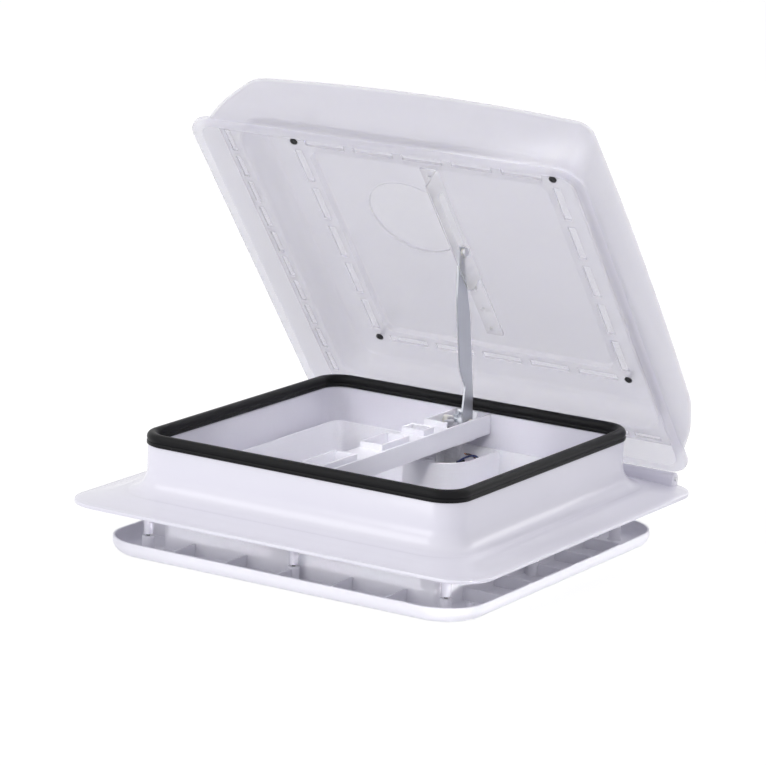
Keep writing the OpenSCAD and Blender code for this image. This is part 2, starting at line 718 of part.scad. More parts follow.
module cross_beam() {
    inner_left = beam_left + beam_wall;
    inner_right = beam_right - beam_wall;
    inner_end = beam_end - beam_wall;
    channel_left = divider_x + beam_wall;
    hollows = [[-beam_end + hollow_in, pockets[0][0]], [pockets[0][1], pockets[1][0]],
        [pockets[1][1], pockets[2][0]]];
    color(white) difference() {
        union() {
            block([beam_left, -beam_end, beam_z], [beam_right, beam_end, ledge_z]);
            block([inner_right, -beam_end, beam_z], [beam_right, beam_end, beam_top]);
            for (p = pockets) block([beam_left, p[0], beam_z], [channel_left, p[1], beam_top]);
            block([beam_left, gear_bay_y, beam_z], [channel_left, beam_end, beam_top]);
        }
        // Open channel for the arm
        block([channel_left, -inner_end, beam_floor], [inner_right, inner_end, beam_top + 1]);
        // Pockets on the left, and hollows under the ledges between them
        for (p = pockets)
            block([inner_left, p[0] + beam_wall, beam_floor],
                [divider_x, p[1] - beam_wall, beam_top + 1]);
        for (gap = hollows)
            block([inner_left, gap[0] + beam_wall, beam_z - 1],
                [divider_x, gap[1] - beam_wall, ledge_z - beam_wall]);
        // Gear bay, with the slot for worm and sector in its floor
        block([inner_left, gear_bay_y + beam_wall, beam_floor],
            [channel_left + 1, inner_end, beam_top + 1]);
        translate([gear_x, worm_y, beam_z - 1]) cylinder(r = worm_tip + side_gap, h = beam_wall + 2);
        block([gear_x - gear_t / 2 - side_gap, worm_y, beam_z - 1],
            [gear_x + gear_t / 2 + side_gap, pivot_y + gear_tip, beam_floor + 1]);
        translate([0, pivot_y, pivot_z]) rod_x(pivot_d + 2 * run_fit, beam_left - 1, pin_end + run_fit);
        for (x = beam_screw_x) for (side = [-1, 1])
            translate([x, side * beam_screw_y, beam_z - 1]) cylinder(d = small_pilot_d, h = beam_h);
        for (sx = [-1, 1]) for (sy = [-1, 1])
            translate([gear_x + sx * motor_screw_at[0], worm_y + sy * motor_screw_at[1], beam_z - 1])
                cylinder(d = small_pilot_d, h = beam_wall + 2);
        // Room over the screws' heads
        for (x = beam_screw_x) for (side = [-1, 1])
            translate([x, side * beam_screw_y, beam_floor]) cylinder(r = small_head_r + seat_gap, h = beam_h);
    }
}

module beam_screws() {
    color(steel) for (x = beam_screw_x) for (side = [-1, 1])
        translate([x, side * beam_screw_y, beam_floor]) rotate([180, 0, 0])
            screw_up(small_d, beam_wall + shelf_h - 3, small_head_r, small_head_h);
}

module lift_motor() {
    low = motor_low;
    color([0.12, 0.12, 0.13]) difference() {
        translate([gear_x, worm_y, 0]) union() {
            translate([0, 0, low]) cylinder(d = motor_d, h = motor_len);
            translate([0, 0, low - 3]) cylinder(d = motor_d * 0.5, h = 4);
            translate([-motor_flange[0] / 2, -motor_flange[1] / 2, motor_z])
                cube(motor_flange);
        }
        translate([gear_x, worm_y, low - 4]) cylinder(d = shaft_d + 2 * run_fit, h = motor_len + 12);
        for (sx = [-1, 1]) for (sy = [-1, 1])
            translate([gear_x + sx * motor_screw_at[0], worm_y + sy * motor_screw_at[1], motor_z - 1])
                cylinder(d = small_pilot_d, h = motor_flange[2] + 2);
    }
}

module motor_screws() {
    color(steel) for (sx = [-1, 1]) for (sy = [-1, 1])
        translate([gear_x + sx * motor_screw_at[0], worm_y + sy * motor_screw_at[1], motor_z])
            screw_up(small_d, motor_flange[2] + beam_wall, small_head_r, small_head_h);
}

module lead_grommet() {
    color("black") difference() {
        block([motor_side - 2, worm_y - grommet[1] / 2, grommet_z - grommet[2] / 2],
            [motor_side + grommet[0], worm_y + grommet[1] / 2, grommet_z + grommet[2] / 2]);
        translate([gear_x, worm_y, grommet_z - grommet[2]]) cylinder(d = motor_d, h = 2 * grommet[2]);
    }
}

module lead_blue() {
    color("royalblue") lead(blue_route);
}

module lead_brown() {
    color("saddlebrown") lead(brown_route);
}

// Bare end of a lead
module bare_end(route) {
    end = route[len(route) - 1];
    d = along(route, len(route) - 1);
    translate(end) rotate([0, acos(d[2]), atan2(d[1], d[0])]) cylinder(r = lead_r * 0.6, h = tip_len);
}

module lead_tips() {
    color("peru") {
        bare_end(blue_route);
        bare_end(brown_route);
    }
}

module pivot_pin() {
    color(steel) translate([0, pivot_y, pivot_z]) {
        rod_x(pivot_d, beam_left - eps, pin_end);
        rod_x(pivot_d + 4, beam_left - pin_head_t, beam_left);
    }
}

module pivot_clip() {
    color("dimgray") translate([0, pivot_y, pivot_z]) difference() {
        rod_x(pivot_d + 5, clip_right - clip_t, clip_right);
        rod_x(pivot_d + 2 * run_fit, beam_left, beam_right);
    }
}

module pivot_spacers() {
    color("ivory") translate([0, pivot_y, pivot_z]) difference() {
        union() {
            rod_x(pivot_d + 4, beam_left + beam_wall + seat_gap, gear_x - gear_t / 2 - spacer_gap);
            rod_x(pivot_d + 4, arm_x + rivet_head_t + spacer_gap, clip_right - clip_t - seat_gap);
        }
        rod_x(pivot_d + 2 * run_fit, beam_left, beam_right);
    }
}

module hinge_rod() {
    color(steel) translate([0, hinge_y, hinge_z])
        rod_x(rod_d, frame_knuckles[0][0] - 2, frame_knuckles[2][1] + 2);
}

module worm_shaft() {
    color("darkkhaki") translate([gear_x, worm_y, 0]) {
        translate([0, 0, knob_z + 4]) cylinder(d = shaft_d, h = worm_low - knob_z - 4);
        translate([0, 0, beam_floor + 0.5]) cylinder(r = worm_root, h = worm_high - beam_floor);
        worm_thread();
    }
}

module hand_knob() {
    color("gray") translate([gear_x, worm_y, knob_z]) difference() {
        union() {
            cylinder(d1 = knob_d - 4, d2 = knob_d, h = 3);
            translate([0, 0, 3]) cylinder(d = knob_d, h = knob_h - 8);
            translate([0, 0, knob_h - 5]) cylinder(d1 = knob_d, d2 = knob_top_d, h = 5);
        }
        for (k = [0 : knob_flutes - 1]) rotate(360 * k / knob_flutes)
            translate([knob_d / 2 + flute_r * 0.4, 0, -1]) cylinder(r = flute_r, h = knob_h + 2);
        translate([0, 0, 4]) cylinder(d = shaft_d + 2 * run_fit, h = knob_h);
        translate([0, 0, -1]) cylinder(d = small_pilot_d, h = 6);
        translate([0, 0, -1]) cylinder(r = small_head_r + seat_gap, h = 2.8);
    }
}

module knob_screw() {
    color(steel) translate([gear_x, worm_y, knob_z + small_head_h])
        screw_up(small_d, 2, small_head_r, small_head_h);
}

// Outline of the arm: a foot at the pivot, a notch above it, a bar, and a taper to the tip
module arm_outline() {
    half = arm_w / 2;
    circle(r = hub_r);
    translate([arm_len, 0]) circle(r = arm_tip_r);
    polygon([[0, -hub_r], [arm_foot[0], -arm_foot[1]], [arm_waist[0], -arm_waist[1]],
        [arm_bar_from, -half], [arm_len - arm_taper[0], -half], [arm_len, -arm_tip_r], [arm_len, arm_tip_r],
        [arm_len - arm_tip_flat, arm_tip_r], [arm_len - arm_taper[1], half],
        [arm_back_from, half], [0, hub_r]]);
}

module lift_arm() {
    color("lightslategray") on_arm(arm_x) difference() {
        linear_extrude(arm_t) arm_outline();
        translate([0, 0, -1]) cylinder(d = pivot_d + 2 * run_fit, h = arm_t + 2);
        translate([arm_len, 0, -1]) cylinder(d = tip_d + 2 * run_fit, h = arm_t + 2);
        for (side = [-1, 1])
            translate([0, side * rivet_at, -1]) cylinder(d = rivet_d + 2 * run_fit, h = arm_t + 2);
    }
}

// Sector teeth, seen with the arm's pivot at the origin; angles run from -Y towards +Z
module sector_outline() {
    tip_half = tooth_half - (gear_tip - pitch_r) * flank;
    root_half = tooth_half + (pitch_r - gear_root) * flank;
    low = (sector_first - 0.45) * tooth_angle;
    high = (sector_last + 0.45) * tooth_angle;
    polygon(concat([[0, 0]], arc_points([0, 0], gear_root, low, high, 12)));
    for (k = [sector_first : sector_last]) rotate(k * tooth_angle)
        polygon([[gear_root - 1, -root_half], [gear_root, -root_half], [gear_tip, -tip_half],
            [gear_tip, tip_half], [gear_root, root_half], [gear_root - 1, root_half]]);
}

module sector_gear() {
    color("darkgray") difference() {
        union() {
            translate([gear_x + gear_t / 2, pivot_y, pivot_z]) rotate([90, 0, -90])
                linear_extrude(gear_t) sector_outline();
            translate([0, pivot_y, pivot_z]) rod_x(2 * hub_r, gear_x - gear_t / 2, arm_left);
        }
        translate([0, pivot_y, pivot_z]) rod_x(pivot_d + 2 * run_fit, gear_x - gear_t, arm_x);
        on_arm(arm_left) for (side = [-1, 1]) translate([0, side * rivet_at, -1])
            cylinder(d = rivet_d + 2 * run_fit, h = arm_left - gear_x + gear_t);
    }
}

module arm_rivets() {
    color(steel) on_arm(arm_x) for (side = [-1, 1]) translate([0, side * rivet_at, 0]) {
        translate([0, 0, -rivet_head_t]) cylinder(d = rivet_d + 1.4, h = rivet_head_t);
        translate([0, 0, -eps]) cylinder(d = rivet_d, h = arm_x - gear_x + gear_t / 2 - 1);
    }
}

module tip_pin() {
    color(steel) translate([0, tip_y, tip_z]) {
        rod_x(tip_d + 3, arm_left - 1.6, arm_left);
        rod_x(tip_d, arm_left - eps, fin_x + roller_w + eps);
        rod_x(tip_d + 4, fin_x + roller_w - 0.2, fin_x + roller_w + pin_head_t);
    }
}

module slide_roller() {
    color("ivory") translate([0, tip_y, tip_z]) difference() {
        rod_x(roller_d, fin_x - side_gap / 2, fin_x + fin_t + side_gap / 2);
        rod_x(tip_d + 2 * run_fit, fin_x - 2, fin_x + roller_w + 2);
    }
}

// Outer or inner body of the dome, set in by an offset: upright wall, sloped left and right sides, crown
module dome_body(inset) {
    low = shoulder_foot_half - inset;
    high = shoulder_top_half - inset;
    slopes = [[-low, dome_z], [low, dome_z], [high, dome_top], [-high, dome_top]];
    intersection() {
        tapered_block(dome_half - inset, dome_r - inset, dome_top_half - inset, dome_z, dome_top);
        rotate([90, 0, 0]) linear_extrude(2 * low, center = true) polygon(slopes);
        translate([0, 0, dome_top - crown_r]) rotate([90, 0, 0])
            sphere(r = crown_r - inset, $fn = crown_steps);
    }
}

module lid_shell() {
    color(frosted) opened() difference() {
        union() {
            difference() {
                union() {
                    dome_body(0);
                    plate(brim_half, brim_r, brim_z, dome_z);
                }
                dome_body(lid_wall);
                plate(dome_half - lid_wall, dome_r - lid_wall, brim_z - 1, dome_z);
            }
            for (sx = [-1, 1]) for (sy = [-1, 1])
                translate([sx * panel_screw_at, sy * panel_screw_at, panel_z + lid_wall])
                    cylinder(r = lid_boss_r, h = lid_boss_top - panel_z - lid_wall);
        }
        for (sx = [-1, 1]) for (sy = [-1, 1])
            translate([sx * panel_screw_at, sy * panel_screw_at, panel_z])
                cylinder(d = small_pilot_d, h = panel_screw_len + 2);
        for (p = leaf_screw_places)
            translate([p[0], p[1], brim_z - 1]) cylinder(d = small_pilot_d, h = brim_t + 2);
    }
}

// Row of shallow dashes along one side of the panel
module dash_row(at, size, pitch, count) {
    for (k = [0 : count - 1])
        translate([(k - (count - 1) / 2) * pitch - size[0] / 2, at - size[1] / 2, -1])
            cube([size[0], size[1], dash_deep + 1]);
}

module lid_panel() {
    color(frosted) opened() difference() {
        union() {
            difference() {
                plate(panel_half, panel_r, panel_low, panel_z + lid_wall);
                plate(panel_half - lid_wall, panel_r - lid_wall, panel_low - 1, panel_z);
                plate(field_half, field_r, panel_z - 1, panel_z + lid_wall + 1);
            }
            difference() {
                plate(field_half + lid_wall, field_r + lid_wall, panel_z, field_z + lid_wall);
                plate(field_half, field_r, panel_z - 1, field_z);
            }
            difference() {
                plate(foot_half, foot_r, panel_low, panel_low + lid_wall);
                plate(panel_half - lid_wall, panel_r - lid_wall, panel_low - 1, panel_low + lid_wall + 1);
            }
        }
        for (turn = [0 : 3]) rotate(90 * turn) {
            translate([0, 0, panel_z]) dash_row(-panel_screw_at, inner_dash, inner_pitch, inner_count);
            translate([0, 0, panel_low]) dash_row(-outer_dash_at, outer_dash, outer_pitch, outer_count);
        }
        for (sx = [-1, 1]) for (sy = [-1, 1])
            translate([sx * panel_screw_at, sy * panel_screw_at, panel_z - 1])
                cylinder(d = small_pilot_d, h = lid_wall + 2);
        for (y = rail_screw_y)
            translate([rail_screw_x, y, field_z - 1]) cylinder(d = small_pilot_d, h = lid_wall + 2);
    }
}

module panel_screws() {
    color("black") opened() for (sx = [-1, 1]) for (sy = [-1, 1])
        translate([sx * panel_screw_at, sy * panel_screw_at, panel_z])
            screw_up(small_d, panel_screw_len, head_r, small_head_h);
}

// The fin's side view: a long plate with a round corner at its free end
module fin_outline() {
    low = rail_z - fin_h;
    difference() {
        union() {
            translate([rail_front, low]) square([fin_back - fin_round - rail_front, fin_h + eps]);
            translate([rail_front, low + fin_round]) square([fin_back - rail_front, fin_h - fin_round + eps]);
            translate([fin_back - fin_round, low + fin_round]) circle(r = fin_round);
        }
        translate([slot_front, slot_z - slot_w / 2]) square([slot_back - slot_front, slot_w]);
        for (y = [slot_front, slot_back]) translate([y, slot_z]) circle(d = slot_w);
    }
}

module slide_rail() {
    color([0.88, 0.88, 0.92]) opened() difference() {
        union() {
            block([fin_x + fin_t - rail_base_w, rail_front, rail_z], [fin_x + fin_t, rail_back, field_z]);
            translate([fin_x, 0, 0]) rotate([90, 0, 90]) linear_extrude(fin_t) fin_outline();
        }
        for (y = rail_screw_y)
            translate([rail_screw_x, y, rail_z - 1]) cylinder(d = small_pilot_d, h = rail_base_t + 2);
    }
}

module rail_screws() {
    color(steel) opened() for (y = rail_screw_y)
        translate([rail_screw_x, y, rail_z])
            screw_up(small_d, rail_base_t + lid_wall, small_head_r, small_head_h);
}

module lid_disc() {
    rail_left = fin_x + fin_t - rail_base_w - seat_gap;
    color("white") opened() difference() {
        translate([disc_u, disc_v, field_z - disc_t]) cylinder(d = disc_d, h = disc_t);
        block([rail_left, -field_half, field_z - 2], [field_half, field_half, field_z + 1]);
    }
}

module hinge_leaves() {
    color(frosted) opened() for (segment = lid_knuckles) difference() {
        union() {
            translate([0, hinge_y, hinge_z]) rod_x(2 * knuckle_r, segment[0], segment[1]);
            block([segment[0], hinge_y - knuckle_r, hinge_z], [segment[1], brim_half, brim_z]);
            block([segment[0], leaf_front, brim_z - leaf_t], [segment[1], brim_half, brim_z]);
        }
        translate([0, hinge_y, hinge_z]) rod_x(rod_d + 2 * run_fit, segment[0] - 1, segment[1] + 1);
        for (p = leaf_screw_places)
            translate([p[0], p[1], brim_z - leaf_screw_in - 0.5])
                cylinder(d = small_pilot_d, h = leaf_screw_in + 1);
    }
}

module leaf_screws() {
    color(steel) opened() for (p = leaf_screw_places)
        translate([p[0], p[1], dome_z]) rotate([180, 0, 0])
            screw_up(small_d, brim_t + leaf_screw_in, small_head_r, small_head_h);
}

roof_frame();
rim_seal();
inner_trim();
trim_screws();
screen_frame();
screen_mesh();
screen_screws();
cross_beam();
beam_screws();
lift_motor();
motor_screws();
lead_grommet();
lead_blue();
lead_brown();
lead_tips();
pivot_pin();
pivot_clip();
pivot_spacers();
hinge_rod();
worm_shaft();
hand_knob();
knob_screw();
lift_arm();
sector_gear();
arm_rivets();
tip_pin();
slide_roller();
lid_shell();
lid_panel();
panel_screws();
slide_rail();
rail_screws();
lid_disc();
hinge_leaves();
leaf_screws();
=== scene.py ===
"""Caravan roof vent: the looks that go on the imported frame, with studio and camera."""

from __future__ import annotations

import logging
import math
from dataclasses import dataclass, replace
from enum import Enum
from typing import Callable, Sequence

import bmesh
import bpy
from mathutils import Matrix, Vector


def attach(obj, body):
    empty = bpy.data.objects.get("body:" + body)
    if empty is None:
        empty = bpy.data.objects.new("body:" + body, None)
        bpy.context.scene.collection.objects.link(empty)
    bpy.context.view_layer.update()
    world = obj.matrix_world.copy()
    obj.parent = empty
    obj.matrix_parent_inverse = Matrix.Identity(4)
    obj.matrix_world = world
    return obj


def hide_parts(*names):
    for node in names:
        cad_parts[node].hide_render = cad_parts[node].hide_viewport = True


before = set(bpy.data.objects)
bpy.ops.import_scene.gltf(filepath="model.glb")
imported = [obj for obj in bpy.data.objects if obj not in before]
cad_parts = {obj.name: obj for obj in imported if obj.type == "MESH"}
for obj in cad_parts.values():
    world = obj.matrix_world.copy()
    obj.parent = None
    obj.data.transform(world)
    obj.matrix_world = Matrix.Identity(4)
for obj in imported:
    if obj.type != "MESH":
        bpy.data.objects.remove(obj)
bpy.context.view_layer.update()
LOG = logging.getLogger("roof_vent")

MM = 0.001
Colour = tuple[float, float, float]
Point2 = tuple[float, float]
Point3 = tuple[float, float, float]
Ring = tuple[float, float, float]
Steps = tuple[int, int]

# Corners of a square, counter-clockwise, and the eight places on its edge where the posts stand
CORNERS = ((1, 1), (-1, 1), (-1, -1), (1, -1))
POST_AT = 168.5
POSTS = [(ix * POST_AT, iy * POST_AT) for ix in (-1, 0, 1) for iy in (-1, 0, 1) if ix or iy]

# A screw's head looks to -Z; flipped, it looks up
FLIP = Matrix.Rotation(math.pi, 4, "X")
QUARTERS = [Matrix.Rotation(math.pi / 2 * k, 4, "Z") for k in range(4)]


class Pattern(Enum):
    """How a finish varies over its surface."""

    CLOUDY = "cloudy"
    BRUSHED = "brushed"
    SPANGLED = "spangled"
    TURNED = "turned"


class Body(Enum):
    """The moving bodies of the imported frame."""

    BASE = "vent_base"
    SHAFT = "drive_shaft"
    ARM = "arm"
    LID = "lid"


# How the grain of worked metal is drawn out along its axes
GRAIN = {Pattern.BRUSHED: (0.04, 1, 1), Pattern.TURNED: (0.1, 0.1, 4)}


def add_node(tree: bpy.types.NodeTree, kind: str, **values: float | Sequence[float]) -> bpy.types.Node:
    """Adds a shader node and sets its inputs.

    Args:
        tree: The node tree.
        kind: The node's type.
        **values: Values of inputs by name, with an underscore for a space.

    Returns:
        The new node.
    """
    made = tree.nodes.new(kind)
    for name, value in values.items():
        made.inputs[name.replace("_", " ")].default_value = value
    return made


@dataclass(frozen=True)
class Finish:
    """One procedural finish: two close colours, a pattern, gloss and fine relief."""

    name: str
    slot: str
    base: Colour
    tint: Colour
    pattern: Pattern = Pattern.CLOUDY
    scale: float = 35.0
    rough: Point2 = (0.3, 0.4)
    relief: float = 0.02
    relief_scale: float = 900.0
    relief_depth: float = 0.0004
    metallic: float = 0.0
    coat: float = 0.0
    coat_rough: float = 0.12
    alpha: float = 1.0
    subsurface: float = 0.0
    scatter: Point3 = (0.006, 0.006, 0.007)
    shine: float = 0.5

    def material(self) -> bpy.types.Material:
        """Returns the finish's node material, made once.

        Returns:
            The Blender material.
        """
        found = bpy.data.materials.get(self.name)
        if found:
            return found
        made = bpy.data.materials.new(self.name)
        made.use_nodes = True
        tree = made.node_tree
        shader = tree.nodes["Principled BSDF"]
        place = tree.nodes.new("ShaderNodeTexCoord").outputs["Object"]
        value = self._pattern(tree, place)
        mixed = tree.nodes.new("ShaderNodeMix")
        mixed.data_type = "RGBA"
        mixed.inputs["A"].default_value = (*self.base, 1)
        mixed.inputs["B"].default_value = (*self.tint, 1)
        tree.links.new(value, mixed.inputs["Factor"])
        tree.links.new(mixed.outputs["Result"], shader.inputs["Base Color"])
        gloss = add_node(tree, "ShaderNodeMapRange", To_Min=self.rough[0], To_Max=self.rough[1])
        tree.links.new(value, gloss.inputs["Value"])
        tree.links.new(gloss.outputs["Result"], shader.inputs["Roughness"])
        self._relief(tree, place, shader)
        settings = {"Metallic": self.metallic, "Coat Weight": self.coat, "Coat Roughness": self.coat_rough,
                    "Alpha": self.alpha, "Specular IOR Level": self.shine}
        if self.subsurface:
            settings |= {"Subsurface Weight": self.subsurface, "Subsurface Radius": self.scatter,
                         "Subsurface Scale": 1.0}
        for name, setting in settings.items():
            shader.inputs[name].default_value = setting
        return made

    def _pattern(self, tree: bpy.types.NodeTree, place: bpy.types.NodeSocket) -> bpy.types.NodeSocket:
        """Makes the nodes of the pattern.

        Args:
            tree: The material's node tree.
            place: The texture coordinate.

        Returns:
            A socket from 0 to 1.
        """
        if self.pattern is Pattern.SPANGLED:
            cells = add_node(tree, "ShaderNodeTexVoronoi", Scale=self.scale)
            tree.links.new(place, cells.inputs["Vector"])
            grey = tree.nodes.new("ShaderNodeRGBToBW")
            tree.links.new(cells.outputs["Color"], grey.inputs["Color"])
            return grey.outputs["Val"]
        if self.pattern in GRAIN:
            stretch = add_node(tree, "ShaderNodeMapping", Scale=GRAIN[self.pattern])
            tree.links.new(place, stretch.inputs["Vector"])
            place = stretch.outputs["Vector"]
        noise = add_node(tree, "ShaderNodeTexNoise", Scale=self.scale, Detail=5)
        tree.links.new(place, noise.inputs["Vector"])
        return noise.outputs["Fac"]

    def _relief(
        self, tree: bpy.types.NodeTree, place: bpy.types.NodeSocket, shader: bpy.types.Node
    ) -> None:
        """Adds the fine moulded or worn surface as bump.

        Args:
            tree: The material's node tree.
            place: The texture coordinate.
            shader: The surface shader.
        """
        grain = add_node(tree, "ShaderNodeTexNoise", Scale=self.relief_scale, Detail=3)
        tree.links.new(place, grain.inputs["Vector"])
        bump = add_node(tree, "ShaderNodeBump", Strength=self.relief, Distance=self.relief_depth)
        tree.links.new(grain.outputs["Fac"], bump.inputs["Height"])
        tree.links.new(bump.outputs["Normal"], shader.inputs["Normal"])


WHITE = Finish("white_moulding", "white_plastic", (0.875, 0.865, 0.94), (0.85, 0.84, 0.92),
               rough=(0.17, 0.24), scale=18.0, coat=0.2)
TRIM_WHITE = Finish("trim_moulding", "white_plastic", (0.92, 0.915, 0.965), (0.9, 0.895, 0.95),
                    rough=(0.3, 0.4), scale=18.0, relief=0.05)
FROSTED = Finish("frosted_lid", "frosted_plastic", (0.87, 0.86, 0.935), (0.845, 0.835, 0.915),
                 rough=(0.42, 0.54), scale=14.0, relief=0.08, relief_scale=1500.0,
                 alpha=0.41, subsurface=0.6, shine=0.35)
PANEL = replace(FROSTED, name="frosted_panel", base=(0.92, 0.91, 0.985), tint=(0.895, 0.885, 0.965),
                alpha=0.2)
THIN = Finish("thin_panel", "frosted_plastic", (0.94, 0.93, 0.99), (0.92, 0.91, 0.975),
              rough=(0.4, 0.5), scale=14.0, relief=0.06, alpha=0.07, shine=0.35)
LEAVES = Finish("frosted_leaves", "frosted_plastic", (0.85, 0.84, 0.915), (0.825, 0.815, 0.895),
                rough=(0.4, 0.5), scale=14.0, relief=0.06, alpha=0.7)
CLEAR = Finish("clear_rail", "clear_plastic", (0.95, 0.94, 1.0), (0.93, 0.92, 0.99),
               rough=(0.15, 0.25), scale=30.0, alpha=0.15, subsurface=1.0)
FAINT = replace(CLEAR, name="clear_fixings", alpha=0.05, subsurface=0.0)
DISC = Finish("plain_disc", "blank_disc", (0.95, 0.94, 0.99), (0.93, 0.92, 0.98),
              rough=(0.5, 0.6), scale=25.0, alpha=0.13, subsurface=0.6)
RUBBER = Finish("seal_rubber", "black_rubber", (0.006, 0.006, 0.007), (0.010, 0.010, 0.011),
                rough=(0.36, 0.48), scale=60.0, relief=0.05, shine=0.14)
MOTOR = Finish("motor_can", "zinc_steel", (0.74, 0.74, 0.78), (0.84, 0.84, 0.87), Pattern.SPANGLED,
               rough=(0.42, 0.55), scale=420.0, metallic=0.15, relief=0.08)
KNOB = Finish("knob_grey", "grey_plastic", (0.42, 0.43, 0.46), (0.38, 0.39, 0.42),
              rough=(0.4, 0.5), relief=0.08)
NYLON = Finish("nylon", "nylon", (0.80, 0.79, 0.80), (0.76, 0.75, 0.76), rough=(0.4, 0.5), subsurface=0.1)
NET = Finish("net_strands", "net", (0.30, 0.31, 0.34), (0.25, 0.26, 0.29), rough=(0.45, 0.6), scale=200.0)
ZINC = Finish("zinc_steel", "zinc_steel", (0.52, 0.54, 0.58), (0.66, 0.68, 0.71), Pattern.SPANGLED,
              rough=(0.3, 0.48), scale=260.0, metallic=0.85, relief=0.05)
STEEL = Finish("bright_steel", "bright_steel", (0.62, 0.62, 0.64), (0.74, 0.74, 0.75), Pattern.BRUSHED,
               rough=(0.2, 0.34), scale=900.0, metallic=1.0)
WORM = Finish("turned_steel", "bright_steel", (0.58, 0.58, 0.60), (0.70, 0.70, 0.72), Pattern.TURNED,
              rough=(0.24, 0.36), scale=400.0, metallic=1.0)
BLACKED = Finish("black_steel", "black_steel", (0.014, 0.014, 0.016), (0.03, 0.03, 0.032),
                 rough=(0.3, 0.45), scale=300.0, metallic=0.4)
BLUE = Finish("blue_sleeve", "blue_insulation", (0.006, 0.014, 0.075), (0.010, 0.020, 0.10),
              rough=(0.35, 0.45), scale=400.0)
BROWN = Finish("brown_sleeve", "brown_insulation", (0.055, 0.018, 0.012), (0.075, 0.026, 0.016),
               rough=(0.35, 0.45), scale=400.0)
COPPER = Finish("bare_copper", "copper", (0.68, 0.32, 0.18), (0.78, 0.42, 0.26), Pattern.TURNED,
                rough=(0.25, 0.4), scale=2500.0, metallic=1.0, relief=0.3, relief_scale=2500.0)


def arc(centre: Point2, radii: Point2, start: float, stop: float, steps: int) -> list[Point2]:
    """Points on an arc of an ellipse.

    Args:
        centre: The arc's centre.
        radii: The half axes.
        start: First angle in degrees.
        stop: Last angle in degrees.
        steps: Number of stretches.

    Returns:
        The points from start to stop.
    """
    turns = [math.radians(start + (stop - start) * k / steps) for k in range(steps + 1)]
    return [(centre[0] + radii[0] * math.cos(t), centre[1] + radii[1] * math.sin(t)) for t in turns]


def circle(radius: float, height: float, steps: int) -> list[Vector]:
    """Points of a level circle about the Z axis."""
    turns = [2 * math.pi * k / steps for k in range(steps)]
    return [Vector((radius * math.cos(t), radius * math.sin(t), height)) for t in turns]


def ringed(outline: Sequence[Point2], centre: float) -> list[Ring]:
    """Turns half widths and heights into rings whose corners share one centre."""
    return [(half, half - centre, height) for half, height in outline]


def rounded_loop(ring: Ring, corner_steps: int, side_steps: int) -> list[Vector]:
    """Points of a level square with round corners, counter-clockwise.

    Args:
        ring: Half width, corner radius and height, in mm.
        corner_steps: Stretches in each corner.
        side_steps: Stretches along each side.

    Returns:
        The loop's points in mm.
    """
    half, radius, height = ring
    centre = half - radius
    corners = [arc((sx * centre, sy * centre), (radius, radius), 90 * k, 90 * k + 90, corner_steps)
               for k, (sx, sy) in enumerate(CORNERS)]
    points: list[Vector] = []
    for corner, ahead in zip(corners, corners[1:] + corners[:1]):
        points += [Vector((x, y, height)) for x, y in corner]
        last = points[-1]
        first = Vector((*ahead[0], height))
        points += [last.lerp(first, k / side_steps) for k in range(1, side_steps)]
    return points


def loft(loops: Sequence[Sequence[Vector]], closed: bool = False, caps: bool = False) -> bmesh.types.BMesh:
    """Joins loops of equal length by quads.

    Args:
        loops: The loops in order.
        closed: Whether the last loop joins the first.
        caps: Whether the first and last loops are filled.

    Returns:
        A new bmesh in mm.
    """
    bm = bmesh.new()
    rows = [[bm.verts.new(p) for p in loop] for loop in loops]
    count = len(rows[0])
    above = rows[1:] + rows[:1] if closed else rows[1:]
    for low, high in zip(rows, above):
        for k in range(count):
            bm.faces.new((low[k], low[(k + 1) % count], high[(k + 1) % count], high[k]))
    if caps:
        bm.faces.new(tuple(reversed(rows[0])))
        bm.faces.new(tuple(rows[-1]))
    bmesh.ops.recalc_face_normals(bm, faces=bm.faces)
    return bm


def swept(section: Sequence[Ring], corner_steps: int = 18, side_steps: int = 6) -> bmesh.types.BMesh:
    """A closed section carried round a square with round corners."""
    return loft([rounded_loop(ring, corner_steps, side_steps) for ring in section], closed=True)


def lathe(profile: Sequence[Point2], steps: int) -> bmesh.types.BMesh:
    """A profile turned about the Z axis; ends on the axis close to a point.

    Args:
        profile: Radius and height of each point.
        steps: Stretches round the axis.

    Returns:
        A new bmesh in mm.
    """
    least, merge = 1e-4, 5e-4
    bm = loft([circle(max(r, least), z, steps) for r, z in profile], caps=True)
    bmesh.ops.remove_doubles(bm, verts=bm.verts, dist=merge)
    return bm


def soft_box(low: Sequence[float], high: Sequence[float], edge: float) -> bmesh.types.BMesh:
    """A block with rounded edges.

    Args:
        low: Lowest corner.
        high: Highest corner.
        edge: Edge radius.

    Returns:
        A new bmesh in mm.
    """
    bm = bmesh.new()
    bmesh.ops.create_cube(bm, size=1)
    size, middle = Vector(high) - Vector(low), (Vector(high) + Vector(low)) / 2
    moved(bm, Matrix.Translation(middle) @ Matrix.Diagonal((*size, 1)))
    bmesh.ops.bevel(bm, geom=bm.edges[:], offset=edge, segments=3, profile=0.5, affect="EDGES")
    return bm


